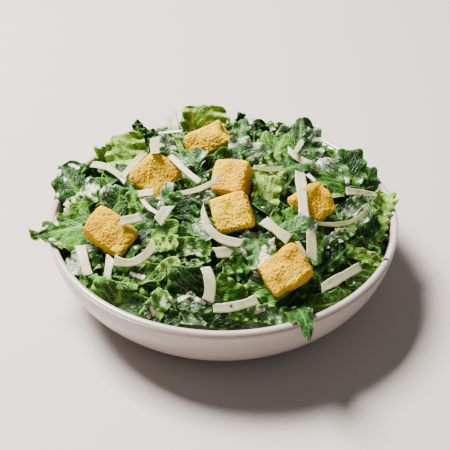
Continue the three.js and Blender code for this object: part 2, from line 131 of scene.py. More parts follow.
def cells(points: Array, size: float, seed: int) -> tuple[Array, Array]:
    """Distances to the two nearest of many scattered seeds, for blisters and crumb.

    Args:
        points: places in millimetres.
        size: mean distance between seeds in millimetres.
        seed: chooses another pattern.

    Returns:
        Distance to the nearest seed and to the next one, in cell sizes.
    """
    place = points / size
    cell = np.floor(place)
    first = np.full(points.shape[:-1], FAR_OFF)
    second = first.copy()
    for corner in product((-1, 0, 1), repeat=3):
        home = cell + corner
        offset = [lattice(home, seed + AXIS_SEEDS * axis) for axis in range(3)]
        distance = np.linalg.norm(home + np.stack(offset, axis=-1) - place, axis=-1)
        second = np.minimum(second, np.maximum(first, distance))
        first = np.minimum(first, distance)
    return first, second


def smooth(low: float, high: float, value: Array) -> Array:
    """Share from 0 to 1, with soft ends, of the way from low to high."""
    return eased(np.clip((value - low) / (high - low), 0, 1))


def unit(vectors: Array) -> Array:
    """The same directions, each one long."""
    shortest = 1e-9
    return vectors / np.maximum(np.linalg.norm(vectors, axis=-1, keepdims=True), shortest)


@dataclass(frozen=True)
class Pattern:
    """Smooth noise with a purpose, such as a leaf's creases.

    `size` is the width of one bump in millimetres, `seed` sets the pattern apart from a
    piece's others, `octaves` are its layers, and `stretch` draws it out along an axis where
    it is below 1.
    """

    size: float
    seed: int
    octaves: int = 1
    stretch: Place = (1, 1, 1)

    def at(self, points: Array, seed: int = 0) -> Array:
        """The pattern at places in millimetres, from -1 to 1, varied by a piece's own seed."""
        return noise(points * self.stretch, self.size, self.seed + seed, self.octaves)


# ------------------------------------------------------------------ meshes


@dataclass
class Patches:
    """Many small meshes that become one piece."""

    points: list[Array] = field(default_factory=list)
    faces: list[Array] = field(default_factory=list)
    masks: list[Array] = field(default_factory=list)
    places: list[Array] = field(default_factory=list)
    count: int = 0

    def add(self, points: Array, faces: Array, masks: Array, places: Array) -> None:
        """Takes one more mesh.

        Args:
            points: places in millimetres.
            faces: triangles, as numbers of points.
            masks: four shares for each point, which the finish reads as `mask`.
            places: where each point is on its own piece, which the finish reads as `place`.
        """
        self.points.append(points.reshape(-1, 3))
        self.faces.append(faces.reshape(-1, 3) + self.count)
        self.masks.append(masks.reshape(-1, 4))
        self.places.append(places.reshape(-1, 3))
        self.count += self.points[-1].shape[0]

    def build(self, name: str) -> Object:
        """Makes the piece.

        Args:
            name: the piece's name.

        Returns:
            The new object, smooth shaded, with its place in its mesh.
        """
        mesh = bpy.data.meshes.new(name)
        points = np.concatenate(self.points) * MM
        faces = np.concatenate(self.faces)
        mesh.vertices.add(len(points))
        mesh.vertices.foreach_set("co", points.astype(np.float32).ravel())
        mesh.loops.add(faces.size)
        mesh.loops.foreach_set("vertex_index", faces.astype(np.int32).ravel())
        mesh.polygons.add(len(faces))
        mesh.polygons.foreach_set("loop_start", np.arange(0, faces.size, 3, dtype=np.int32))
        mesh.polygons.foreach_set("loop_total", np.full(len(faces), 3, np.int32))
        mesh.update(calc_edges=True)
        write_mask(mesh, np.concatenate(self.masks))
        place = mesh.attributes.new("place", "FLOAT_VECTOR", "POINT")
        place.data.foreach_set("vector", np.concatenate(self.places).astype(np.float32).ravel())
        mesh.shade_smooth()
        made = bpy.data.objects.new(name, mesh)
        bpy.context.scene.collection.objects.link(made)
        return made


def write_mask(mesh: Mesh, mask: Array) -> None:
    """Stores four shares for each vertex, which a finish reads as the attribute `mask`.

    Args:
        mesh: the mesh.
        mask: four numbers from 0 to 1 for each vertex.
    """
    layer = mesh.color_attributes.new("mask", "FLOAT_COLOR", "POINT")
    layer.data.foreach_set("color", np.clip(mask, 0, 1).astype(np.float32).ravel())


def heading(angle: float) -> Array:
    """Direction on the level, as two numbers, for an angle from +X in radians."""
    return np.array([math.cos(angle), math.sin(angle)])


def normals(grid: Array) -> Array:
    """Directions out of a grid of points, rows by columns by three."""
    return unit(np.cross(np.gradient(grid, axis=0), np.gradient(grid, axis=1)))


def twice(values: Array) -> Array:
    """A grid's values for the upper face of its sheet, and again for the lower one."""
    return np.concatenate([values.reshape(-1, values.shape[-1])] * 2)


def sheet(middle: Array, thickness: Array) -> tuple[Array, Array]:
    """Thickens a grid of points into a closed thin solid, both faces split alike.

    Args:
        middle: grid of points, rows by columns by three.
        thickness: how thick the sheet is at each of them.

    Returns:
        The points, upper face first, and the triangles.
    """
    rows, columns = middle.shape[:2]
    shift = normals(middle) * (thickness / 2)[..., None]
    points = np.concatenate([(middle + shift).reshape(-1, 3), (middle - shift).reshape(-1, 3)])
    number = np.arange(rows * columns).reshape(rows, columns)
    a, b = number[:-1, :-1].ravel(), number[1:, :-1].ravel()
    c, d = number[1:, 1:].ravel(), number[:-1, 1:].ravel()
    upper = np.concatenate([np.stack([a, b, c], 1), np.stack([a, c, d], 1)])
    lower = upper[:, ::-1] + rows * columns
    border = np.concatenate(
        [number[0, :-1], number[:-1, -1], number[-1, :0:-1], number[:0:-1, 0]])
    after = np.roll(border, -1)
    under = border + rows * columns
    under_after = after + rows * columns
    rim = np.concatenate(
        [np.stack([border, after, under_after], 1), np.stack([border, under_after, under], 1)])
    return points, np.concatenate([upper, lower, rim])


def deselect() -> None:
    """Leaves nothing selected, so that an operator acts on the new primitive alone."""
    bpy.ops.object.select_all(action="DESELECT")


def turned(name: str, profile: list[Pair], segments: int) -> Object:
    """Turns a closed round piece, as on a wheel: a disc whose edge is drawn out ring by ring.

    Args:
        name: the piece's name.
        profile: radius and height of each ring in millimetres, from the underside's edge
            round to the last ring, which is closed with a disc.
        segments: faces round the piece.

    Returns:
        The new object, smooth shaded.
    """
    deselect()
    radius, height = profile[0]
    bpy.ops.mesh.primitive_circle_add(
        vertices=segments, radius=radius * MM, fill_type="TRIFAN", location=(0, 0, height * MM))
    made = bpy.context.object
    made.name = made.data.name = name
    bpy.ops.object.transform_apply(location=True, rotation=True, scale=True)
    bpy.ops.object.mode_set(mode="EDIT")
    bpy.ops.mesh.select_mode(type="EDGE")
    bpy.ops.mesh.select_all(action="SELECT")
    bpy.ops.mesh.region_to_loop()
    for next_radius, next_height in profile[1:]:
        bpy.ops.mesh.extrude_edges_move(
            TRANSFORM_OT_translate={"value": (0, 0, (next_height - height) * MM)})
        share = next_radius / radius
        bpy.ops.transform.resize(
            value=(share, share, 1), center_override=(0, 0, next_height * MM))
        radius, height = next_radius, next_height
    bpy.ops.mesh.fill(use_beauty=False)
    bpy.ops.mesh.select_all(action="SELECT")
    bpy.ops.mesh.normals_make_consistent(inside=False)
    bpy.ops.object.mode_set(mode="OBJECT")
    bpy.ops.object.shade_smooth()
    return made


# ------------------------------------------------------------------ bowl, heap, line of sight


@dataclass(frozen=True)
class BowlShape:
    """The bowl's section: a wall curved like a quarter circle, with a rounded lip.

    A leaf that reaches over the rim is kept off the lip down to `overhang` below it, and
    `touch` is how near to the lip counts as lying on it.
    """

    rim_radius: float = 108
    height: float = 51
    wall: float = 4.2
    lip_radius: float = 2.1
    wall_radius: float = 52
    lean_at_rim: float = 3
    lean_at_foot: float = 84
    segments: int = 144
    outer_steps: int = 26
    lip_steps: int = 12
    inner_steps: int = 22
    overhang: float = 14
    touch: float = 0.01

    @property
    def centre(self) -> Pair:
        """Radius and height of the middle of the wall's curve."""
        return (self.rim_radius - self.wall_radius * math.cos(math.radians(self.lean_at_rim)),
                self.wall_radius * math.sin(math.radians(self.lean_at_foot)))

    @property
    def lip(self) -> Pair:
        """Radius and height of the middle of the round lip."""
        return self.rim_radius - self.lip_radius, self.height - self.lip_radius

    def arc(self, inset: float, steps: int) -> list[Pair]:
        """Points down the wall.

        Args:
            inset: how far inside the outer face.
            steps: how many stretches.

        Returns:
            Radius and height of each point, the rim's end first.
        """
        reach = self.wall_radius - inset
        leans = np.radians(np.linspace(self.lean_at_rim, self.lean_at_foot, steps + 1))
        return [(self.centre[0] + reach * math.cos(lean), self.centre[1] - reach * math.sin(lean))
                for lean in leans]

    def profile(self) -> list[Pair]:
        """The section from the underside's edge up, over the lip and down to the floor."""
        turns = np.linspace(0, math.pi, self.lip_steps + 1)
        lip = [(self.lip[0] + self.lip_radius * math.cos(turn),
                self.lip[1] + self.lip_radius * math.sin(turn)) for turn in turns]
        return [*reversed(self.arc(0, self.outer_steps)), *lip,
                *self.arc(self.wall, self.inner_steps)]

    def keep_clear(self, points: Array, gap: float) -> Array:
        """Lifts a piece over the lip and draws it in from the wall.

        Args:
            points: places in millimetres.
            gap: how far the piece stays off the glaze.

        Returns:
            The places, moved where they would be in the wall.
        """
        moved = points.copy()
        radius = np.hypot(moved[..., 0], moved[..., 1])
        away = radius - self.lip[0]
        reach = self.lip_radius + gap
        top = self.lip[1] + np.sqrt(np.clip(reach**2 - away**2, 0, None))
        on_lip = (np.abs(away) < reach) & (moved[..., 2] > self.lip[1] - self.lip_radius)
        hangs_over = radius.max() > self.rim_radius + gap
        if hangs_over:
            on_lip |= (np.abs(away) < reach) & (moved[..., 2] > self.lip[1] - self.overhang)
        moved[..., 2] = np.where(on_lip, np.maximum(moved[..., 2], top), moved[..., 2])
        inner = self.wall_radius - self.wall - gap
        drop = self.centre[1] - moved[..., 2]
        room = self.centre[0] + np.sqrt(np.clip(inner**2 - np.clip(drop, 0, inner)**2, 0, None))
        room = np.minimum(room, self.lip[0] - reach)
        outside = radius > self.rim_radius + gap
        blocked = (radius > room) & (moved[..., 2] < top - self.touch) & ~on_lip
        blocked &= ~(outside & hangs_over) & (moved[..., 2] < self.height)
        share = np.where(blocked, room / np.maximum(radius, TINY), 1.0)
        moved[..., :2] *= share[..., None]
        return moved


@dataclass(frozen=True)
class HeapShape:
    """The bare core that the pieces are laid on: a dome with a flat top.

    Its slope is taken from heights `probe` millimetres to either side.
    """

    crown: float = 28
    reach: float = 88
    fullness: float = 2.6
    probe: float = 0.5

    def height(self, x: Array, y: Array) -> Array:
        """Height of the bare core above the foot, at places seen from above."""
        radius = np.minimum(np.hypot(x, y), BOWL.rim_radius)
        return BOWL.height + self.crown * (1 - (radius / self.reach) ** self.fullness)

    def normal(self, place: Array) -> Array:
        """Direction straight out of the core's top.

        Args:
            place: where, in millimetres.

        Returns:
            The direction, one long.
        """
        x, y = place[0], place[1]
        return unit(np.array([
            self.height(x - self.probe, y) - self.height(x + self.probe, y),
            self.height(x, y - self.probe) - self.height(x, y + self.probe),
            2 * self.probe]))


BOWL = BowlShape()
HEAP = HeapShape()


@dataclass(frozen=True)
class Sight:
    """How the diner sees the bowl: the sheet of 450 by 450 points, and the eye.

    `scale` is how many points of the sheet a millimetre takes near the rim. A line of sight
    is followed in steps from `headroom` millimetres above the heap.
    """

    middle: float = 225
    focal: float = 1000
    elevation: float = 37.7
    distance: float = 5.75 * BowlShape.rim_radius
    scale: float = 1.65
    rim_centre: Pair = (222.6, 211.4)
    headroom: float = 60
    step: float = 0.25
    steps: int = 1600

    @property
    def eye(self) -> Array:
        """Where the eye is, in millimetres."""
        lean = math.radians(self.elevation)
        away = np.array([0, -math.cos(lean), math.sin(lean)]) * self.distance
        return away + [0, 0, BOWL.height]

    @property
    def axes(self) -> Array:
        """Right, up and forward as the rows of a matrix."""
        across, down = (place - self.middle for place in self.rim_centre)
        tip = math.atan2(down, self.focal)
        pitch = math.radians(self.elevation) - tip
        yaw = -math.atan2(across, self.focal / math.cos(tip))
        forward = np.array([
            math.sin(yaw) * math.cos(pitch), math.cos(yaw) * math.cos(pitch), -math.sin(pitch)])
        right = unit(np.cross(forward, [0, 0, 1]))
        return np.array([right, np.cross(right, forward), forward])

    def on_sheet(self, points: Array) -> Array:
        """Where places are seen on the sheet.

        Args:
            points: the places, in millimetres.

        Returns:
            Their columns and rows.
        """
        away = points - self.eye
        right, up, forward = self.axes
        depth = away @ forward
        return np.stack([self.middle + self.focal * (away @ right) / depth,
                         self.middle - self.focal * (away @ up) / depth], axis=-1)

    def on_heap(self, spot: Pair, lift: float) -> Array:
        """Drops a point of the sheet on the heap.

        Args:
            spot: column and row on the sheet.
            lift: how far above the bare core it comes to rest.

        Returns:
            The place in millimetres.
        """
        right, up, forward = self.axes
        ray = forward + right * (spot[0] - self.middle) / self.focal
        ray = unit(ray + up * (self.middle - spot[1]) / self.focal)
        start = (BOWL.height + HEAP.crown + self.headroom - self.eye[2]) / ray[2]
        track = self.eye + ray * (start + self.step * np.arange(self.steps))[:, None]
        above = track[:, 2] > HEAP.height(track[:, 0], track[:, 1]) + lift
        return track[int(np.argmin(above))]


SIGHT = Sight()


# ------------------------------------------------------------------ thin pieces


class Tone(Enum):
    """Which leaf of the head of romaine a piece is torn from, or how it is dressed. The heart's
    pale green is partly painted glow, and the lower pieces are a touch darker as painted shade.
    """

    DARK = "outer"
    MID = "middle"
    # pale yellow-green: partly the heart's own colour, partly painted glow of light through the
    # standing leaves
    HEART = "heart"
    COATED = "coated"
    # a touch darker than the outer leaves, as painted shade between the pieces on top
    BED = "lower"


@dataclass(frozen=True)
class Cut:
    """How pieces narrow from base to tip, in shares of their full width and their length."""

    torn_end: float = 0.62
    torn_squareness: int = 4
    tip_widest: float = 0.375
    tip_squareness: float = 2.4
    point_taper: float = 1.7
    rib_narrowing: float = 0.2
    rib_curve: float = 1.2


CUT = Cut()


class Outline(Enum):
    """How wide a piece is from its base to its tip."""

    TORN = "torn"
    TIP = "tip"
    POINT = "point"
    RIB = "rib"
    STRIP = "strip"

    def width(self, along: Array) -> Array:
        """How wide the outline is.

        Args:
            along: shares of the way from the base to the tip.

        Returns:
            Shares of the full width.
        """
        if self is Outline.TORN:
            fullness = np.sqrt(np.clip(1 - (2 * along - 1) ** CUT.torn_squareness, 0, 1))
            return CUT.torn_end + (1 - CUT.torn_end) * fullness
        if self is Outline.TIP:
            away = np.abs(along - CUT.tip_widest) / (1 - CUT.tip_widest)
            return np.sqrt(np.clip(1 - away**CUT.tip_squareness, 0, 1))
        if self is Outline.POINT:
            return 1 - along**CUT.point_taper
        if self is Outline.RIB:
            return 1 - CUT.rib_narrowing * (1 - np.cos(CUT.rib_curve * (2 * along - 1)))
        return np.ones_like(along)


@dataclass(frozen=True)
class Piece:
    """A thin wavy piece: where it starts and ends on the sheet, and how it is curved.

    `lift` is the height of both ends above the bare core. `face` turns the piece from lying
    on the heap, 0, to facing the diner, 1. `bend` and `cup` are its curves in degrees, along
    and across. `bow` is its sideways curve and `ruffle` the waves of its margins, in mm,
    which the two margins take `out_of_step`, an angle. `crinkle` is how deep its creases and
    frills are, as a share of a plain leaf's.
    """

    start: Pair
    end: Pair
    lift: Pair
    width: float
    tone: Tone = Tone.DARK
    coat: float = 0.0
    shape: Outline = Outline.TORN
    face: float = 0.5
    bend: float = 20
    cup: float = 20
    ruffle: float = 2.5
    waves: float = 3
    bow: float = 0
    crinkle: float = 1
    out_of_step: float = 2.1

    def ends(self) -> tuple[Array, Array]:
        """Base and tip of the piece as it lies on the heap, in millimetres."""
        return SIGHT.on_heap(self.start, self.lift[0]), SIGHT.on_heap(self.end, self.lift[1])

    def surface(self, base: Array, tip: Array, u: Array, v: Array, half: Array,
                relief: Array, jag: Array) -> Array:
        """Grid of points on the wavy piece.

        Args:
            base: where it starts.
            tip: where it ends.
            u: shares along it, as a column.
            v: shares across it from -1 to 1, as a row.
            half: half its width at each point.
            relief: height of the fine relief at each point.
            jag: how far each point is shifted lengthways.

        Returns:
            The points, rows along and columns across.
        """
        middle = (base + tip) / 2
        length = float(np.linalg.norm(tip - base))
        forward = (tip - base) / length
        outward = HEAP.normal(middle) * (1 - self.face) + unit(SIGHT.eye - middle) * self.face
        outward = unit(outward - forward * (outward @ forward))
        left = np.cross(outward, forward)
        bend = math.radians(self.bend) + TINY
        cup = math.radians(self.cup) + TINY
        turn = bend * (u - 0.5)
        fold = cup * v / 2
        phase = np.where(v < 0, self.out_of_step, 0)
        ruffle = self.ruffle * v * v * np.sin(2 * math.pi * self.waves * u + phase)
        sideways = half * np.sin(fold) / (cup / 2) + self.bow * 4 * u * (1 - u)
        above = half * (1 - np.cos(fold)) / (cup / 2) + ruffle + relief
        onward = length * np.sin(turn) / bend + above * np.sin(turn) + jag
        rise = length * (1 - math.cos(bend / 2)) / bend / 2
        height = rise - length * (1 - np.cos(turn)) / bend + above * np.cos(turn)
        return (middle + onward[..., None] * forward + sideways[..., None] * left
                + height[..., None] * outward)


# ------------------------------------------------------------------ leaves


@dataclass(frozen=True)
class LeafRelief:
    """Fine shape of a leaf. Widths, spacings and heights are in millimetres, the rest shares."""

    # cells of the mesh: their size, and the fewest and most of them along and across
    step: float = 0.75
    rows: tuple[int, int] = (8, 80)
    columns: tuple[int, int] = (6, 48)
    # the blade, thinner towards its sides and ends
    thickness: float = 0.5
    middle_thickness: float = 1.25
    thinning: float = 0.6
    side_margin: int = 8
    end_margin: float = 0.9
    # the rib, wider towards the base, and the side veins that leave it at a slant
    rib_tip: float = 0.6
    rib_growth: float = 1.5
    rib_full: float = 22
    rib_aside: float = 1.5
    rib_wander: float = 0.5
    vein_spacing: float = 5.6
    vein_slant: float = 0.9
    vein_wander: float = 0.4
    # ridges between the side veins, cut by a net of the smallest veins
    height: float = 0.75
    roundness: float = 0.7
    unevenness: float = 0.35
    blister: float = 3.0
    blister_stretch: Place = (1, 0.7, 1)
    net_width: float = 0.4
    net_depth: float = 0.35
    rib_flatness: float = 0.8
    # creases along the leaf and frills of its margins, full on a piece of this width
    full_width: float = 14
    swell: float = 3.4
    crease_middle: float = 0.25
    frill: float = 2.4
    edge_frill: float = 1.5
    # lobes and notches of its sides, and its torn ends
    least_width: float = 0.14
    lobe: float = 0.3
    notch: float = 0.9
    notched_half: float = 5
    tear: float = 2.6
    torn_share: float = 0.35
    torn_length: float = 30
    # thick dressing: its height, its lumps, and how its edge wanders on the sheet
    pool: float = 0.6
    pool_lumps: float = 0.6
    pool_reach: float = 0.42
    pool_wander: float = 0.6
    pool_edge: float = 1
    # thin dressing: less in all, in clouds, and more on the ridges, where it is also painted
    # highlight
    film_less: float = 0.3
    film_clouds: float = 0.5
    film_and_highlight_ridges: float = 0.25


@dataclass(frozen=True)
class LeafPatterns:
    """The noise behind a leaf's shape and colour, varied by each leaf's own seed.

    The flat leaves lie `depth_apart` millimetres apart for each seed, and the sides and ends
    read their patterns on tracks of their own beside them.
    """

    depth_apart: float = 9.7
    side_track: float = 50
    end_track: float = 20
    film: Pattern = Pattern(9, 3)
    shade: Pattern = Pattern(12, 4, 2)
    rib: Pattern = Pattern(8, 5)
    veins: Pattern = Pattern(8, 6, 2)
    blisters: int = 7
    ridges: Pattern = Pattern(6, 8)
    frill: Pattern = Pattern(6, 9, 3, (1, 0.15, 1))
    creases: Pattern = Pattern(12, 10, 2, (0.4, 1, 1))
    edge: Pattern = Pattern(2.8, 11, 2, (1, 0.1, 1))
    lobes: tuple[Pattern, Pattern] = (Pattern(12, 11, 2), Pattern(12, 12, 2))
    notches: tuple[Pattern, Pattern] = (Pattern(2.6, 13, 2), Pattern(2.6, 14, 2))
    tip: Pattern = Pattern(3.5, 21, 2)
    base: Pattern = Pattern(3.5, 22, 2)
    pool: Pattern = Pattern(3, 61, 3)
    lumps: Pattern = Pattern(2, 62)


@dataclass(frozen=True)
class FarSide:
    """Arcs of larger pieces behind the standing leaves.

    Each arc has a radius, a count and a lift. The other pairs are the ranges that a piece's
    place, size and curves are drawn from, and `odds` are those of each tone.
    """

    seed: int = 11
    arcs: tuple[tuple[float, int, float], ...] = (
        (44, 7, 8), (62, 10, 7), (80, 13, 5), (90, 14, 3))
    first: float = -0.02
    sweep: float = 1.04
    aside: Pair = (-0.3, 0.3)
    shift: Pair = (-5, 5)
    swing: Pair = (-1.1, 1.1)
    half: Pair = (11, 18)
    start_lift: Pair = (-5, -1)
    end_lift: Pair = (0, 6)
    odds: tuple[float, ...] = (0.4, 0.3, 0.1, 0.2, 0)
    width: Pair = (15, 27)
    coat: Pair = (0.1, 0.7)
    shapes: tuple[Outline, ...] = (Outline.TORN, Outline.TIP)
    bend: Pair = (-10, 45)
    cup: Pair = (-35, 45)
    ruffle: Pair = (1.5, 3)
    step: float = 1.0


@dataclass(frozen=True)
class Bed:
    """Smaller pieces all over the core, each turned a golden angle on from the one before.

    The pairs are the ranges that a piece's place, size and curves are drawn from. In front,
    from `low_from` to `low_to` millimetres, the pieces lie up to `lower` deeper.
    """

    seed: int = 23
    count: int = 130
    reach: float = 97
    golden: float = 2.39996
    half: Pair = (11, 18)
    start_lift: Pair = (-5, 1)
    end_lift: Pair = (0, 7)
    lower: float = 4
    low_from: float = -65
    low_to: float = -90
    odds: tuple[float, ...] = (0, 0.1, 0, 0, 0.9)
    width: Pair = (14, 24)
    coat: Pair = (0, 0.25)
    face: Pair = (-0.6, 0.6)
    bend: Pair = (-20, 50)
    cup: Pair = (-40, 60)
    ruffle: Pair = (1, 2.5)
    crinkle: float = 0.8
    step: float = 1.4


@dataclass
class Leaf:
    """One leaf piece: a grid of points, by shares `u` along it and `v` across."""

    piece: Piece
    base: Array
    tip: Array
    step: float
    seed: int
    relief: LeafRelief = LeafRelief()
    patterns: LeafPatterns = LeafPatterns()

    def vary(self, pattern: Pattern) -> Array:
        """A pattern over the flat leaf."""
        return pattern.at(self.flat, self.seed)

    def track(self, along: Array, aside: float) -> Array:
        """Places on a track beside the flat leaf, where a margin reads its patterns."""
        beside = (np.full_like(along, value) for value in (aside, self.seed))
        return np.stack([along, *beside], axis=-1)

    @cached_property
    def length(self) -> float:
        """How long it is in millimetres."""
        return float(np.linalg.norm(self.tip - self.base))

    @cached_property
    def u(self) -> Array:
        """Shares along it, as a column."""
        rows = int(np.clip(round(self.length / self.step), *self.relief.rows)) + 1
        return np.linspace(0, 1, rows)[:, None]

    @cached_property
    def v(self) -> Array:
        """Shares across it from -1 to 1, as a row."""
        columns = int(np.clip(round(self.piece.width / self.step), *self.relief.columns)) + 1
        return np.linspace(-1, 1, columns)[None, :]

    @cached_property
    def flat(self) -> Array:
        """Where each point is on the flat leaf, far from every other leaf's places."""
        side = np.broadcast_to(self.v * self.piece.width / 2, (len(self.u), self.v.shape[1]))
        onward = np.broadcast_to(self.u * self.length, side.shape)
        depth = np.full(side.shape, self.patterns.depth_apart * self.seed)
        return np.stack([onward, side, depth], axis=-1)

    @cached_property
    def half(self) -> Array:
        """Half the width at each point, with lobes and notches on either side."""
        relief, patterns, piece = self.relief, self.patterns, self.piece
        half = piece.width / 2 * np.maximum(piece.shape.width(self.u), relief.least_width)
        track = self.track(self.u * self.length, patterns.side_track)
        lobes, notches = (
            np.where(self.v < 0, left.at(track, self.seed), right.at(track, self.seed))
            for left, right in (patterns.lobes, patterns.notches))
        depth = relief.notch * min(1, piece.crinkle) * np.minimum(1, half / relief.notched_half)
        return half * (1 + relief.lobe * lobes * np.abs(self.v)) + depth * notches * self.v**4

    @cached_property
    def jag(self) -> Array:
        """How far each point is shifted lengthways, where the base and the tip are torn."""
        relief, patterns = self.relief, self.patterns
        place = self.track(self.half * self.v, patterns.end_track)
        ends = smooth(1 - relief.torn_share, 1, self.u) * patterns.tip.at(place, self.seed)
        ends = ends + smooth(relief.torn_share, 0, self.u) * patterns.base.at(place, self.seed)
        return relief.tear * ends * min(1, self.length / relief.torn_length, self.piece.crinkle)

    @cached_property
    def across(self) -> Array:
        """Signed distance from the rib, which only a whole tip has in its middle."""
        whole = self.piece.shape in (Outline.TIP, Outline.POINT)
        reach = self.relief.rib_aside
        aside = 0.0 if whole else np.random.default_rng(self.seed).uniform(-reach, reach)
        wander = self.relief.rib_wander * self.vary(self.patterns.rib)
        return self.flat[..., 1] - aside * self.piece.width / 2 + wander

    @cached_property
    def phase(self) -> Array:
        """Where along the rib a side vein through each point would leave it, in millimetres."""
        relief = self.relief
        wander = relief.vein_wander * relief.vein_spacing * self.vary(self.patterns.veins)
        return self.flat[..., 0] - relief.vein_slant * np.abs(self.across) + wander

    @cached_property
    def rib(self) -> Array:
        """How much each point is rib, from 0 to 1."""
        relief = self.relief
        width = relief.rib_tip + relief.rib_growth * (1 - self.u)
        return np.exp(-((self.across / (width * min(1, self.piece.width / relief.rib_full))) ** 2))

    @cached_property
    def ridge(self) -> Array:
        """How far each point stands up between the side veins, broken up by smaller veins."""
        relief = self.relief
        share = self.phase / relief.vein_spacing
        share = share - np.floor(share)
        nearest, following = cells(self.flat * relief.blister_stretch, relief.blister,
                                   self.seed + self.patterns.blisters)
        net = np.exp(-(((following - nearest) * relief.blister / relief.net_width) ** 2))
        uneven = 1 - relief.unevenness + relief.unevenness * self.vary(self.patterns.ridges)
        ridge = np.sin(math.pi * share) ** relief.roundness * uneven - relief.net_depth * net
        return ridge * (1 - relief.rib_flatness * self.rib)

    @cached_property
    def height(self) -> Array:
        """Height of the surface: ridges, creases along the leaf, and frilled margins."""
        relief, patterns = self.relief, self.patterns
        margin = np.abs(self.v)
        frill = margin**3 * self.vary(patterns.frill)
        edge = margin**6 * self.vary(patterns.edge)
        crease = relief.crease_middle - np.abs(self.vary(patterns.creases))
        depth = self.piece.crinkle * min(1, self.piece.width / relief.full_width)
        return depth * (relief.height * self.ridge + relief.frill * frill
                        + relief.edge_frill * edge + relief.swell * crease)

    @cached_property
    def margin(self) -> Array:
        """How near each point is to the leaf's sides and ends, from 0 to 1."""
        sides = np.abs(self.v) ** self.relief.side_margin + 0 * self.u
        return np.maximum(sides, smooth(self.relief.end_margin, 1, np.abs(2 * self.u - 1)))

    @cached_property
    def thickness(self) -> Array:
        """How thick the blade is at each point."""
        return self.relief.thickness * (
            self.relief.middle_thickness - self.relief.thinning * self.margin)

    def shifted(self, points: Array, outward: Array, pool: Array) -> Array:
        """Lifts the points under thick dressing, on the side that the diner sees.

        Args:
            points: places on the leaf.
            outward: directions out of it.
            pool: how far thick dressing covers each of them.

        Returns:
            The places after that.
        """
        facing = np.sign(np.sum(outward * (SIGHT.eye - points), axis=-1))
        lumps = 1 + self.relief.pool_lumps * self.patterns.lumps.at(points)
        return points + (self.relief.pool * pool * lumps * facing)[..., None] * outward

    def pooled(self, points: Array) -> Array:
        """How far the thick runs of dressing cover the leaf.

        Args:
            points: places on it.

        Returns:
            Shares from 0 to 1.
        """
        relief = self.relief
        spots = SIGHT.on_sheet(points)
        uneven = relief.pool_reach + relief.pool_wander * self.patterns.pool.at(points)
        share = np.zeros(points.shape[:-1])
        for start, end, width in RUNS if self.piece.tone is not Tone.BED else ():
            run = np.subtract(end, start)
            along = np.clip((spots - start) @ run / (run @ run), 0, 1)
            away = np.linalg.norm(spots - start - along[..., None] * run, axis=-1)
            reach = SIGHT.scale * width * uneven
            covered = smooth(reach + relief.pool_edge, reach - relief.pool_edge, away)
            share = np.maximum(share, covered)
        return share

    def mask(self, pool: Array) -> Array:
        """Four shares for the finish: rib, dressing, shade and margin.

        Args:
            pool: how far thick dressing covers each point.

        Returns:
            The shares; dressing is up to a half under a thin film and to 1 under a thick run.
        """
        relief = self.relief
        clouds = relief.film_clouds * self.vary(self.patterns.film)
        # the ridges' share whitens them as painted highlight as well as dressing
        film = self.piece.coat - relief.film_less + clouds + relief.film_and_highlight_ridges * self.ridge
        coat = (np.maximum(np.clip(film, 0, 1), pool) + pool) / 2
        shade = 0.5 + 0.5 * self.vary(self.patterns.shade)
        # the margin share becomes the margins' painted glow in the finish
        return np.stack([self.rib, coat, shade, self.margin], axis=-1)


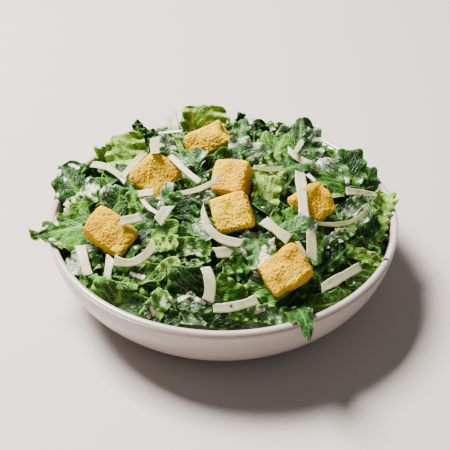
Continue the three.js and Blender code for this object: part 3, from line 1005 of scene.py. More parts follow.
@dataclass
class Romaine:
    """All the leaf pieces, sorted into one piece of the model for each tone.

    `skins` keeps each piece's surface, its directions outwards and how dressed it is, for
    the drops that cling to it. `room` is how far from the middle an end may come to rest,
    and `apart` sets the seeds of the leaves apart.
    """

    far_side: FarSide = FarSide()
    bed: Bed = Bed()
    room: float = 98
    apart: int = 31
    patches: dict[Tone, Patches] = field(
        default_factory=lambda: {tone: Patches() for tone in Tone})
    skins: list[tuple[Array, Array, float]] = field(default_factory=list)
    made: int = 0

    def lay(self, piece: Piece, base: Array, tip: Array, step: float) -> None:
        """Lays one leaf piece on the heap.

        Args:
            piece: how it is shaped.
            base: where it starts.
            tip: where it ends.
            step: size of its mesh's cells in millimetres.
        """
        self.made += 1
        leaf = Leaf(piece, base, tip, step, self.apart * self.made)
        points = piece.surface(base, tip, leaf.u, leaf.v, leaf.half, leaf.height, leaf.jag)
        points = BOWL.keep_clear(points, leaf.relief.thickness)
        outward = normals(points)
        pool = leaf.pooled(points)
        points = leaf.shifted(points, outward, pool)
        solid, faces = sheet(points, leaf.thickness)
        grown = np.stack([leaf.phase, leaf.across, leaf.flat[..., 2]], axis=-1)
        self.patches[piece.tone].add(solid, faces, twice(leaf.mask(pool)), twice(grown))
        self.skins.append((points, outward, piece.coat))

    def lay_all(self) -> None:
        """Lays the leaves that the diner sees, then the far side, then small bits between."""
        for piece in LEAVES:
            self.lay(piece, *piece.ends(), LeafRelief.step)
        self.lay_far_side()
        self.lay_bed()

    def lay_far_side(self) -> None:
        """Lays arcs of larger pieces behind the standing leaves, as on the diner's side."""
        far = self.far_side
        draw = np.random.default_rng(far.seed)
        for radius, count, lift in far.arcs:
            for k in range(count):
                share = far.sweep * (k + 0.5 + draw.uniform(*far.aside)) / count
                round_by = math.pi * (far.first + share)
                middle = (radius + draw.uniform(*far.shift)) * heading(round_by)
                swing = round_by + draw.uniform(*far.swing)
                along = draw.uniform(*far.half) * heading(swing)
                lifts = draw.uniform(*far.start_lift), draw.uniform(*far.end_lift)
                tone = self.pick(draw, far.odds)
                piece = Piece((0, 0), (0, 0), (0, 0), draw.uniform(*far.width), tone,
                              draw.uniform(*far.coat), face=0, shape=draw.choice(far.shapes),
                              bend=draw.uniform(*far.bend), cup=draw.uniform(*far.cup),
                              ruffle=draw.uniform(*far.ruffle))
                ends = self.rest(middle - along, middle + along, lift + np.array(lifts))
                self.lay(piece, *ends, far.step)

    def lay_bed(self) -> None:
        """Lays smaller bits all over the core, so that no gap shows it bare."""
        bed = self.bed
        draw = np.random.default_rng(bed.seed)
        for k in range(bed.count):
            middle = bed.reach * math.sqrt((k + 0.5) / bed.count) * heading(bed.golden * k)
            swing = draw.uniform(0, 2 * math.pi)
            along = draw.uniform(*bed.half) * heading(swing)
            lifts = np.array([draw.uniform(*bed.start_lift), draw.uniform(*bed.end_lift)])
            lifts = lifts - bed.lower * smooth(bed.low_from, bed.low_to, middle[1])
            tone = self.pick(draw, bed.odds)
            piece = Piece((0, 0), (0, 0), (0, 0), draw.uniform(*bed.width), tone,
                          draw.uniform(*bed.coat), face=draw.uniform(*bed.face),
                          bend=draw.uniform(*bed.bend), cup=draw.uniform(*bed.cup),
                          ruffle=draw.uniform(*bed.ruffle), crinkle=bed.crinkle)
            self.lay(piece, *self.rest(middle - along, middle + along, lifts), bed.step)

    def pick(self, draw: np.random.Generator, odds: tuple[float, ...]) -> Tone:
        """Draws a tone by the odds of each."""
        return draw.choice(np.array(list(Tone), dtype=object), p=odds)

    def rest(self, start: Array, end: Array, lifts: Array) -> tuple[Array, Array]:
        """Lays two ends on the core, drawn in to where the bowl leaves them room.

        Args:
            start: one end, seen from above.
            end: the other end.
            lifts: how high they lie on the core.

        Returns:
            The two ends.
        """
        ends = []
        for spot, lift in zip((start, end), lifts):
            spot = spot * min(1, self.room / max(float(np.linalg.norm(spot)), TINY))
            ends.append(np.array([*spot, HEAP.height(spot[0], spot[1]) + lift]))
        return ends[0], ends[1]

    def build(self) -> None:
        """Makes one piece of each tone, the first of them in place of the plain heap."""
        for tone, patches in self.patches.items():
            leaves = patches.build(f"romaine_{tone.value}")
            leaves.data.materials.append(LEAF_FINISHES[tone].material())
            settle(leaves)
            if tone is Tone.DARK:
                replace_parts(leaves, "romaine_heap")


# ------------------------------------------------------------------ finishes


def srgb(red: int, green: int, blue: int) -> Colour:
    """A colour as it looks on a screen, as linear light.

    Args:
        red: its red, from 0 to 255.
        green: its green.
        blue: its blue.

    Returns:
        The three channels of light, from 0 to 1.
    """
    def linear(value: int) -> float:
        """One channel as linear light."""
        share = value / 255
        return share / 12.92 if share <= 0.04045 else ((share + 0.055) / 1.055) ** 2.4
    return linear(red), linear(green), linear(blue)


class NodeTree:
    """A new material's nodes, with short ways to add and join them."""

    def __init__(self, name: str) -> None:
        """Makes the material with its shader.

        Args:
            name: the material's name.
        """
        self.material = bpy.data.materials.new(name)
        self.material.use_nodes = True
        self.tree = self.material.node_tree
        self.shader = self.tree.nodes["Principled BSDF"]

    def join(self, value: object, socket: Socket) -> None:
        """Links an output to a socket, or sets the socket to a plain value.

        Args:
            value: the output, a colour or a number.
            socket: the socket it goes into.
        """
        if isinstance(value, Socket):
            self.tree.links.new(value, socket)
        elif isinstance(value, tuple) and len(value) == 3 and socket.type == "RGBA":
            socket.default_value = (*value, 1)
        else:
            socket.default_value = value

    def set(self, **values: object) -> None:
        """Sets the shader's sockets: Base_Color=..., Roughness=... and so on."""
        for name, value in values.items():
            self.join(value, self.shader.inputs[name.replace("_", " ")])

    def add(self, kind: str, inputs: dict[str, object], **settings: object) -> bpy.types.Node:
        """Adds a node.

        Args:
            kind: its type.
            inputs: what goes into its sockets, by their identifiers.
            settings: its own settings.

        Returns:
            The node.
        """
        node = self.tree.nodes.new(f"ShaderNode{kind}")
        for name, value in settings.items():
            setattr(node, name, value)
        sockets = {socket.identifier: socket for socket in node.inputs}
        for name, value in inputs.items():
            self.join(value, sockets[name])
        return node

    def place(self) -> Socket:
        """Place in the object, in metres."""
        return self.add("TexCoord", {}).outputs["Object"]

    def attribute(self, name: str) -> bpy.types.Node:
        """A node that reads one of the mesh's own attributes."""
        return self.add("Attribute", {}, attribute_name=name)

    def mask(self) -> tuple[Socket, ...]:
        """The four shares that the attribute `mask` holds."""
        node = self.attribute("mask")
        split = self.add("SeparateColor", {"Color": node.outputs["Color"]})
        return (*split.outputs[:3], node.outputs["Alpha"])

    def noise(self, place: Socket, size: float, detail: float = 2,
              distortion: float = 0) -> Socket:
        """Noise from 0 to 1.

        Args:
            place: coordinates to read.
            size: width of a bump in the coordinates' own unit.
            detail: how many finer layers it has.
            distortion: how much it swirls.

        Returns:
            The noise node's output.
        """
        inputs = {"Vector": place, "Scale": 1 / size, "Detail": detail, "Distortion": distortion}
        return self.add("TexNoise", inputs).outputs["Fac"]

    def split(self, place: Socket) -> tuple[Socket, ...]:
        """The three numbers of a place."""
        return tuple(self.add("SeparateXYZ", {"Vector": place}).outputs)

    def net(self, place: Socket, size: float) -> Socket:
        """Distance from the lines of a net whose meshes are `size` wide, as a share of it."""
        inputs = {"Vector": place, "Scale": 1 / size}
        return self.add("TexVoronoi", inputs, feature="DISTANCE_TO_EDGE").outputs["Distance"]

    def maths(self, operation: str, *values: object, held: bool = True) -> Socket:
        """The result of one sum, such as ADD or MULTIPLY, held between 0 and 1 if asked."""
        inputs = dict(zip(("Value", "Value_001"), values))
        return self.add("Math", inputs, operation=operation, use_clamp=held).outputs["Value"]

    def blend(self, *parts: tuple[object, float]) -> Socket:
        """The sum of some values, each times its weight, held between 0 and 1."""
        total, *rest = (self.maths("MULTIPLY", value, weight) for value, weight in parts)
        for weighted in rest:
            total = self.maths("ADD", total, weighted)
        return total

    def between(self, value: object, low: float, high: float) -> Socket:
        """Share from 0 to 1 of the way from low to high, with soft ends."""
        inputs = {"Value": value, "From Min": low, "From Max": high}
        return self.add("MapRange", inputs, interpolation_type="SMOOTHSTEP").outputs["Result"]

    def mix(self, share: object, first: object, second: object) -> Socket:
        """Mixes two colours.

        Args:
            share: how much of the second there is, from 0 to 1.
            first: one colour.
            second: the other colour.

        Returns:
            The colour between them.
        """
        inputs = {"Factor_Float": share, "A_Color": first, "B_Color": second}
        outputs = self.add("Mix", inputs, data_type="RGBA").outputs
        return next(socket for socket in outputs if socket.identifier == "Result_Color")

    def bump(self, height: Socket, depth: float, strength: float) -> None:
        """Gives the shader a fine relief, `depth` metres deep."""
        inputs = {"Height": height, "Distance": depth, "Strength": strength}
        self.set(Normal=self.add("Bump", inputs).outputs["Normal"])


@dataclass(frozen=True)
class LeafFinish:
    """Fresh leaf with paler veins, under a broken film of cream dressing. Its margins are painted
    paler as painted glow of light through the thin edge, and the film on the ridges and blister
    tops is partly painted highlight.

    Sizes are in millimetres on the grown leaf. Weights say how much each thing counts, and
    `film_start` is how much of them together starts the film. A range runs from where a
    thing begins to where it is full.
    """

    name: str
    deep: Colour
    fresh: Colour
    vein: Colour
    # painted glow: the paler green of the margins, standing for light through the thin edge
    margin: Colour
    film: Colour = srgb(214, 219, 202)
    cream: Colour = srgb(194, 178, 156)
    blotch: float = 5
    blotch_weight: float = 0.6
    shade_weight: float = 0.4
    fresh_range: Pair = (0.36, 0.64)
    margin_glow_weight: float = 0.6
    vein_weight: float = 0.75
    vein_spacing: float = LeafRelief.vein_spacing
    side_vein: Pair = (0.5, 0.1)
    side_weight: float = 0.7
    mesh: float = 2.2
    mesh_vein: Pair = (0.1, 0.0)
    mesh_weight: float = 0.3
    streak: float = 4
    streak_weight: float = 0.42
    coat_weight: float = 0.5
    pucker: float = 1.2
    pucker_highlight_weight: float = 0.22
    pucker_range: Pair = (0, 0.35)
    film_start: float = 0.66
    thin_range: Pair = (-0.12, 0.04)
    thin_weight: float = 0.5
    thick_range: Pair = (0, 0.16)
    thick_weight: float = 0.4
    pool_range: Pair = (0.55, 0.7)
    dull: Colour = srgb(154, 154, 154)
    glossy: Colour = srgb(130, 130, 130)
    gloss: float = 0.1
    film_gloss: float = 0.2
    relief: Pair = (0.0009, 0.7)

    def material(self) -> Material:
        """Makes the material."""
        nodes = NodeTree(self.name)
        rib, dressing, shade, margin = nodes.mask()
        place = nodes.attribute("place").outputs["Vector"]
        net = nodes.net(place, self.mesh)
        pucker = nodes.maths("MULTIPLY", nodes.between(net, *self.pucker_range),
                             nodes.noise(place, self.pucker, 2))
        # the pucker's share whitens the blister tops as painted highlight
        depth = nodes.blend(
            (nodes.noise(place, self.streak, 3, 1.2), self.streak_weight),
            (nodes.maths("MULTIPLY", dressing, 2), self.coat_weight),
            (pucker, self.pucker_highlight_weight))
        thin, thick = (
            nodes.between(depth, *(self.film_start + end for end in ends))
            for ends in (self.thin_range, self.thick_range))
        film = nodes.blend((thin, self.thin_weight), (thick, self.thick_weight))
        dressed = nodes.mix(film, self.green(nodes, place, rib, shade, margin, net), self.film)
        shine = nodes.maths("MULTIPLY", thin, self.film_gloss)
        nodes.set(
            Base_Color=nodes.mix(nodes.between(dressing, *self.pool_range), dressed, self.cream),
            Roughness=nodes.mix(thin, self.dull, self.glossy),
            Subsurface_Weight=0.12,
            Subsurface_Radius=(0.6, 1.0, 0.3),
            Subsurface_Scale=0.0012,
            Specular_IOR_Level=nodes.maths("ADD", shine, self.gloss))
        nodes.bump(pucker, *self.relief)
        return nodes.material

    def green(self, nodes: NodeTree, place: Socket, rib: Socket, shade: Socket,
              margin: Socket, net: Socket) -> Socket:
        """The bare leaf's colour.

        Args:
            nodes: the material's nodes.
            place: where each point is on the grown leaf.
            rib: how much it is rib.
            shade: how fresh it is.
            margin: how near it is to the leaf's margin.
            net: how far it is from the smallest veins.

        Returns:
            The colour's socket.
        """
        fresh = nodes.blend((nodes.noise(place, self.blotch, 3, 0.6), self.blotch_weight),
                            (shade, self.shade_weight))
        green = nodes.mix(nodes.between(fresh, *self.fresh_range), self.deep, self.fresh)
        # painted glow of light through the thin margins
        green = nodes.mix(nodes.maths("MULTIPLY", margin, self.margin_glow_weight), green, self.margin)
        vein = nodes.maths("MULTIPLY", self.veins(nodes, place, rib, net), self.vein_weight)
        return nodes.mix(vein, green, self.vein)

    def veins(self, nodes: NodeTree, place: Socket, rib: Socket, net: Socket) -> Socket:
        """How much each point is vein.

        Args:
            nodes: the material's nodes.
            place: where each point is on the grown leaf.
            rib: how much it is rib.
            net: how far it is from the smallest veins.

        Returns:
            Shares from 0 to 1.
        """
        start = nodes.split(place)[0]
        away = nodes.maths("PINGPONG", start, self.vein_spacing / 2, held=False)
        side = nodes.maths("MULTIPLY", nodes.between(away, *self.side_vein), self.side_weight)
        small = nodes.maths("MULTIPLY", nodes.between(net, *self.mesh_vein), self.mesh_weight)
        return nodes.maths("MAXIMUM", nodes.maths("MAXIMUM", side, small), rib)


LEAF_FINISHES = {
    Tone.DARK: LeafFinish("outer_leaf", srgb(7, 22, 9), srgb(26, 60, 22),
                          srgb(82, 124, 50), srgb(88, 140, 48)),
    # a touch darker than the outer leaves, as painted shade deep in the heap
    Tone.BED: LeafFinish("lower_leaf_painted_shade", srgb(7, 20, 8), srgb(24, 54, 18),
                         srgb(74, 112, 44), srgb(80, 126, 42)),
    Tone.MID: LeafFinish("middle_leaf", srgb(18, 50, 14), srgb(58, 108, 30),
                         srgb(134, 170, 80), srgb(114, 158, 54)),
    # partly the heart's own pale green, partly painted glow of light through the leaf
    Tone.HEART: LeafFinish("heart_leaf_painted_glow", srgb(66, 108, 24), srgb(130, 166, 60),
                           srgb(184, 200, 120), srgb(168, 190, 86)),
    Tone.COATED: LeafFinish("dressed_leaf", srgb(12, 40, 16), srgb(50, 94, 40),
                            srgb(134, 165, 104), srgb(102, 142, 72), film_start=0.56),
}


@dataclass(frozen=True)
class CoreFinish:
    """Packed leaves deep in the heap, painted dark green as the shade between the pieces on top.
    Sizes are in metres.
    """

    deep: Colour = srgb(16, 34, 12)
    fresh: Colour = srgb(46, 84, 30)
    fold: float = 0.006
    relief: Pair = (0.002, 0.8)

    def material(self) -> Material:
        """Makes the material."""
        nodes = NodeTree("packed_leaves_painted_shade")
        fold = nodes.noise(nodes.place(), self.fold, 4, 1)
        nodes.set(Base_Color=nodes.mix(fold, self.deep, self.fresh), Roughness=0.6)
        nodes.bump(fold, *self.relief)
        return nodes.material


@dataclass(frozen=True)
class ToastFinish:
    """Fried crumb: golden, paler in its open faces, brown at its edges and crust, and brown in its
    pits as painted shade.

    Sizes are in metres. Weights say how much each thing counts, and a range runs from where
    a thing begins to where it is full.
    """

    pale: Colour = srgb(230, 190, 0)
    golden: Colour = srgb(208, 160, 0)
    brown: Colour = srgb(162, 94, 0)
    grain: float = 0.0014
    grain_weight: float = 0.6
    patch_weight: float = 0.4
    golden_range: Pair = (0.38, 0.62)
    pit_shade_weight: float = 0.5
    scorch: float = 0.003
    scorch_weight: float = 0.5
    brown_range: Pair = (0.82, 1.3)
    crumb: float = 0.0009
    relief: Pair = (0.0012, 1.0)

    def material(self) -> Material:
        """Makes the material."""
        nodes = NodeTree("toasted_crumb")
        shaded_pit, toast, patch, _ = nodes.mask()
        place = nodes.place()
        golden = nodes.blend((nodes.noise(place, self.grain, 3), self.grain_weight),
                             (patch, self.patch_weight))
        crumb = nodes.mix(nodes.between(golden, *self.golden_range), self.pale, self.golden)
        # painted shade: the pores darkened to brown
        crumb = nodes.mix(nodes.maths("MULTIPLY", shaded_pit, self.pit_shade_weight), crumb, self.brown)
        scorch = nodes.maths("MULTIPLY", nodes.noise(place, self.scorch, 3), self.scorch_weight)
        edge = nodes.between(nodes.maths("ADD", toast, scorch), *self.brown_range)
        nodes.set(Base_Color=nodes.mix(edge, crumb, self.brown), Roughness=0.9,
                  Specular_IOR_Level=0.06, Subsurface_Weight=0.06,
                  Subsurface_Radius=(1.0, 0.8, 0.3), Subsurface_Scale=0.0012)
        nodes.bump(nodes.noise(place, self.crumb, 3), *self.relief)
        return nodes.material


@dataclass(frozen=True)
class CheeseFinish:
    """Hard cheese: cream-coloured, a little clear, with soft clouds and a fine dry grain.

    Sizes are in millimetres on the flat ribbon, and the relief is in metres.
    """

    pale: Colour = srgb(214, 208, 172)
    deep: Colour = srgb(150, 150, 92)
    ribbon_weight: float = 0.6
    grain: float = 2.4
    grain_weight: float = 0.4
    cloud: float = 10
    cloud_weight: float = 0.7
    deep_range: Pair = (0.35, 1.2)
    dry: float = 0.5
    relief: Pair = (0.0002, 0.5)

    def material(self) -> Material:
        """Makes the material."""
        nodes = NodeTree("hard_cheese")
        place = nodes.attribute("place").outputs["Vector"]
        uneven = nodes.blend((nodes.noise(place, self.grain, 3), self.grain_weight),
                             (nodes.noise(place, self.cloud, 2, 0.5), self.cloud_weight))
        ribbon = nodes.maths("MULTIPLY", nodes.mask()[1], self.ribbon_weight)
        shade = nodes.between(nodes.maths("ADD", ribbon, uneven, held=False), *self.deep_range)
        nodes.set(Base_Color=nodes.mix(shade, self.pale, self.deep), Roughness=0.45,
                  Transmission_Weight=0.3, Subsurface_Weight=0.3,
                  Subsurface_Radius=(1.0, 0.9, 0.6), Subsurface_Scale=0.002)
        nodes.bump(nodes.noise(place, self.dry, 2), *self.relief)
        return nodes.material


@dataclass(frozen=True)
class DressingFinish:
    """Thick cream dressing, with a soft gloss and shades `cloud` metres wide."""

    pale: Colour = srgb(210, 198, 182)
    shaded: Colour = srgb(194, 178, 158)
    cloud: float = 0.004

    def material(self) -> Material:
        """Makes the material."""
        nodes = NodeTree("cream_dressing")
        cloud = nodes.noise(nodes.place(), self.cloud, 2)
        nodes.set(Base_Color=nodes.mix(cloud, self.pale, self.shaded), Roughness=0.3,
                  Subsurface_Weight=0.25, Subsurface_Radius=(1.0, 0.9, 0.7),
                  Subsurface_Scale=0.002)
        return nodes.material


@dataclass(frozen=True)
class GlazeFinish:
    """Off-white glaze over stoneware, with a faint unevenness; both its colours are painted greyer
    and pinker than the white glaze, as painted shade and a painted warm reflection. Sizes are in
    metres.
    """

    # painted shade and painted warm reflection: both colours greyer and pinker than the white
    # glaze itself
    pale: Colour = srgb(181, 164, 158)
    warm: Colour = srgb(172, 155, 149)
    cloud: float = 0.035
    wave: float = 0.012
    relief: Pair = (0.0002, 0.15)

    def material(self) -> Material:
        """Makes the material."""
        nodes = NodeTree("white_glaze_painted_warm_shade")
        place = nodes.place()
        nodes.set(Base_Color=nodes.mix(nodes.noise(place, self.cloud, 3), self.pale, self.warm),
                  Roughness=0.28, Coat_Weight=0.4, Coat_Roughness=0.12)
        nodes.bump(nodes.noise(place, self.wave, 2), *self.relief)
        return nodes.material


@dataclass(frozen=True)
class FloorFinish:
    """Plain pale floor with a faint cloudiness, `cloud` metres wide."""

    pale: Colour = srgb(177, 168, 163)
    deep: Colour = srgb(172, 164, 159)
    cloud: float = 0.4

    def material(self) -> Material:
        """Makes the material."""
        nodes = NodeTree("pale_floor")
        cloud = nodes.noise(nodes.place(), self.cloud, 2)
        nodes.set(Base_Color=nodes.mix(cloud, self.pale, self.deep), Roughness=0.7)
        return nodes.material


# ------------------------------------------------------------------ pieces of the model


def settle(made: Object) -> Object:
    """Makes a finished piece ride on the bowl, and reports it.

    Args:
        made: the piece.

    Returns:
        The same piece.
    """
    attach(made, BODY)
    made.data.calc_loop_triangles()
    log.info("%s: %d triangles", made.name, len(made.data.loop_triangles))
    return made


def vertices(mesh: Mesh) -> Array:
    """Reads where a mesh's vertices are.

    Args:
        mesh: the mesh.

    Returns:
        Rows of three numbers, in its own unit.
    """
    places = np.empty(len(mesh.vertices) * 3)
    mesh.vertices.foreach_get("co", places)
    return places.reshape(-1, 3)


def move_vertices(mesh: Mesh, points: Array) -> None:
    """Sets a mesh's vertices to places in millimetres."""
    mesh.vertices.foreach_set("co", (points * MM).ravel())
    mesh.update()


@dataclass
class Bowl:
    """The bowl, turned smooth, in place of the plain one."""

    shape: BowlShape = BOWL
    finish: GlazeFinish = GlazeFinish()

    def build(self) -> None:
        """Turns and glazes it."""
        made = turned("bowl_glazed", self.shape.profile(), self.shape.segments)
        made.data.materials.append(self.finish.material())
        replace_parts(settle(made), "bowl")


@dataclass
class Core:
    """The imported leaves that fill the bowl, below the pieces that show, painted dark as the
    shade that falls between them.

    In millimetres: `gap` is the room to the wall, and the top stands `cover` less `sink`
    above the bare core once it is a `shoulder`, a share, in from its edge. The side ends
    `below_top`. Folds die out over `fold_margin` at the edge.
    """

    gap: float = 0.35
    rings: int = 30
    segments: int = 96
    cover: float = 3.0
    sink: float = 2.0
    shoulder: float = 0.25
    below_top: float = 1
    edge: float = 0.5
    fold_depth: float = 1.8
    fold_margin: float = 12
    folds: Pattern = Pattern(11, 5, 3, (1, 1, 0))
    finish: CoreFinish = CoreFinish()

    def build(self) -> None:
        """Turns the filling, and gives its top folds."""
        side = BOWL.arc(BOWL.wall + self.gap, BOWL.inner_steps)[1:]
        top = self.top(side[0][0])
        radius, height = top[0]
        side = [ring for ring in reversed(side) if ring[1] < height - self.below_top]
        made = turned("packed_leaves_painted_shade", [*side, *top], self.segments)
        self.fold(made.data, radius, height)
        # painted shade: a dark green filling where only the shade between the pieces shows
        made.data.materials.append(self.finish.material())
        settle(made)

    def top(self, edge: float) -> list[Pair]:
        """Rings of the top.

        Args:
            edge: radius that they start from.

        Returns:
            Radius and height of each, inwards.
        """
        rings = []
        for k in range(1, self.rings):
            radius = edge * (1 - k / self.rings)
            lift = self.cover * min(1, k / self.rings / self.shoulder) - self.sink
            rings.append((radius, float(HEAP.height(radius, 0)) + lift))
        return rings

    def fold(self, mesh: Mesh, radius: float, height: float) -> None:
        """Gives the top folds, inside its outermost ring.

        Args:
            mesh: the turned filling.
            radius: that ring's radius.
            height: that ring's height.
        """
        points = vertices(mesh) / MM
        reach = np.hypot(points[:, 0], points[:, 1])
        on_top = (points[:, 2] > height - self.edge) & (reach < radius - self.edge)
        depth = self.fold_depth * smooth(radius, radius - self.fold_margin, reach)
        points[:, 2] += np.where(on_top, depth * self.folds.at(points), 0)
        move_vertices(mesh, points)


@dataclass(frozen=True)
class CroutonPlan:
    """Where a crouton lies and how it is cut, turned and toasted.

    `at` and `lift` place its middle, `size` is in millimetres, and the three turns are in degrees.
    `square` is how sharp its edges are, and `browning` how brown it is, from 0 to 1, which for the
    one at (110, 233) is raised as painted shade as well as toast.
    """

    at: Pair
    lift: float
    size: Place
    yaw: float
    tilt: float
    spin: float
    square: float
    browning: float


@dataclass(frozen=True)
class Crumb:
    """A crouton's surface. Depths are in millimetres, and a range ends where a thing is full.

    `evening` is how far the cells of the cube are spread before it is rounded.
    """

    first_seed: int = 40
    apart: int = 10
    evening: float = 0.72
    pore: float = 1.25
    pore_range: Pair = (0.62, 0.1)
    pore_weight: float = 0.7
    hole: float = 2.8
    hole_range: Pair = (0.3, 0.12)
    hole_weight: float = 0.4
    pit_depth: float = 0.6
    shrink: float = 0.1
    crags: Pattern = Pattern(7, 2)
    crag_depth: float = 1.3
    grit: Pattern = Pattern(1.5, 3, 2)
    grit_depth: float = 0.4
    edge_range: Pair = (0.66, 0.95)
    crust_range: Pair = (0.8, 0.98)
    crust_weight: float = 0.5
    scorch: Pattern = Pattern(6, 4)
    scorch_weight: float = 0.22
    patches: Pattern = Pattern(8, 5)
    fried_middle: float = 0.5
    fried_weight: float = 1.2


@dataclass
class Croutons:
    """Large cubes of toast with an open crumb, each in place of its plain one."""

    cuts: int = 54
    surface: Crumb = Crumb()
    finish: ToastFinish = ToastFinish()

    def build(self) -> None:
        """Makes them all with one finish."""
        crumb = self.finish.material()
        for number, plan in enumerate(CROUTONS, 1):
            made = self.cube(number, plan)
            made.data.materials.append(crumb)
            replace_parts(settle(made), f"crouton_{number}")

    def cube(self, number: int, plan: CroutonPlan) -> Object:
        """Models one crouton and turns it as it lies.

        Args:
            number: its number, which also chooses its crumb.
            plan: its size and place.

        Returns:
            The new object.
        """
        deselect()
        bpy.ops.mesh.primitive_cube_add(size=2)
        made = bpy.context.object
        made.name = made.data.name = f"toast_{number}"
        bpy.ops.object.mode_set(mode="EDIT")
        bpy.ops.mesh.select_all(action="SELECT")
        bpy.ops.mesh.subdivide(number_cuts=self.cuts)
        bpy.ops.object.mode_set(mode="OBJECT")
        self.crumb(made.data, number, plan)
        turn = (Matrix.Rotation(math.radians(plan.yaw), 4, "Z")
                @ Matrix.Rotation(math.radians(plan.tilt), 4, "X")
                @ Matrix.Rotation(math.radians(plan.spin), 4, "Z"))
        middle = SIGHT.on_heap(plan.at, plan.lift) * MM
        made.matrix_world = Matrix.Translation(Vector(middle)) @ turn
        bpy.ops.object.transform_apply(location=True, rotation=True, scale=True)
        bpy.ops.object.shade_smooth()
        return made

    def crumb(self, mesh: Mesh, number: int, plan: CroutonPlan) -> None:
        """Rounds a cube, bites pores into it, marks its pores for painted shade and its edges as
        toasted.

        Args:
            mesh: the cube, two long.
            number: chooses its pattern.
            plan: its size and how it is fried.
        """
        look = self.surface
        seed = look.first_seed + look.apart * number
        size = np.array(plan.size)
        cube = np.tan(vertices(mesh) * look.evening) / math.tan(look.evening)
        reach = (np.abs(cube) ** plan.square).sum(axis=1, keepdims=True)
        round_cube = cube * reach ** (-1 / plan.square)
        points = round_cube * size / 2
        outward = unit(points / size**2 * np.abs(round_cube) ** 2)
        pore, _ = cells(points, look.pore, seed)
        hole, _ = cells(points, look.hole, seed + 1)
        shaded_pit = (look.pore_weight * smooth(*look.pore_range, pore)
               + look.hole_weight * smooth(*look.hole_range, hole))
        crag = (look.crag_depth * look.crags.at(points, seed)
                + look.grit_depth * look.grit.at(points, seed))
        points = points + outward * (crag - look.pit_depth * shaded_pit - look.shrink)[:, None]
        move_vertices(mesh, points)
        nearly = np.sort(np.abs(round_cube), axis=1)
        edge = smooth(*look.edge_range, nearly[:, 1])
        crust = look.crust_weight * smooth(*look.crust_range, -round_cube[:, 2])
        scorch = look.scorch_weight * look.scorch.at(points, seed)
        toast = plan.browning * np.maximum(edge, crust) + scorch
        patch = 0.5 + 0.5 * look.patches.at(points, seed)
        patch = patch + look.fried_weight * (plan.browning - look.fried_middle)
        write_mask(mesh, np.stack([shaded_pit, toast, patch, patch], axis=1))


@dataclass
class Shavings:
    """Shavings of hard cheese: thin ribbons with ragged margins and a slight curl.

    Each flat ribbon lies `apart` millimetres from the next in its patterns. Shares say how
    much its width varies, and `slant` how far its ends are cut askew.
    """

    thickness: float = 0.5
    middle_thickness: float = 1.1
    thinning: float = 0.5
    thin_from: float = 0.8
    rows: int = 30
    columns: int = 8
    seed: int = 3
    apart: float = 13.0
    side_track: float = 30
    ragged: Pattern = Pattern(2.2, 0, 2)
    ragged_share: float = 0.16
    uneven: Pattern = Pattern(9, 20, 1, (1, 0, 1))
    uneven_share: float = 0.16
    ripple: Pattern = Pattern(5, 50, 2)
    ripple_height: float = 0.25
    slant: float = 0.7
    slant_share: float = 0.3
    crumbled: Pattern = Pattern(1.6, 0)
    crumbled_depth: float = 0.4
    shade: Pair = (0, 0.8)
    finish: CheeseFinish = CheeseFinish()

    def build(self) -> None:
        """Makes them as one piece, in place of the plain ones."""
        ribbons = Patches()
        draw = np.random.default_rng(self.seed)
        for number, plan in enumerate(SHAVINGS, 1):
            self.ribbon(ribbons, number, plan, draw)
        made = ribbons.build("cheese_shavings")
        made.data.materials.append(self.finish.material())
        nodes = [f"shaving_{number}" for number in range(1, len(SHAVINGS) + 1)]
        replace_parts(settle(made), *nodes)

    def ribbon(self, ribbons: Patches, number: int, plan: Piece,
               draw: np.random.Generator) -> None:
        """Adds one shaving.

        Args:
            ribbons: where it goes.
            number: its number, which also chooses its margins.
            plan: how it lies and curls.
            draw: what its ends and its shade are drawn from.
        """
        u = np.linspace(0, 1, self.rows)[:, None]
        v = np.linspace(-1, 1, self.columns)[None, :]
        base, tip = plan.ends()
        length = float(np.linalg.norm(tip - base))
        side = np.broadcast_to(v * plan.width / 2, (self.rows, self.columns))
        flat = np.stack([np.broadcast_to(u * length, side.shape), side,
                         np.full(side.shape, self.apart * number)], axis=-1)
        track = flat * [1, 0, 1] + np.sign(side)[..., None] * [0, self.side_track, 0]
        ragged = self.ragged_share * np.abs(self.ragged.at(track, number)) * np.abs(v)
        uneven = self.uneven_share * self.uneven.at(flat, number)
        half = plan.width / 2 * (1 - ragged) * (1 + uneven)
        ripple = self.ripple_height * self.ripple.at(flat, number)
        ends = smooth(1 - self.slant_share, 1, u), smooth(self.slant_share, 0, u)
        slant = sum(draw.uniform(-self.slant, self.slant) * end for end in ends)
        crumbled = np.abs(2 * u - 1) ** 6 * self.crumbled.at(flat, number)
        jag = slant * v * half + self.crumbled_depth * crumbled
        points = plan.surface(base, tip, u, v, half, ripple, jag)
        edge = smooth(self.thin_from, 1, np.maximum(np.abs(v), np.abs(2 * u - 1)))
        thickness = self.thickness * (self.middle_thickness - self.thinning * edge)
        solid, faces = sheet(points, thickness)
        mask = np.full((len(solid), 4), draw.uniform(*self.shade))
        ribbons.add(solid, faces, mask, twice(flat))


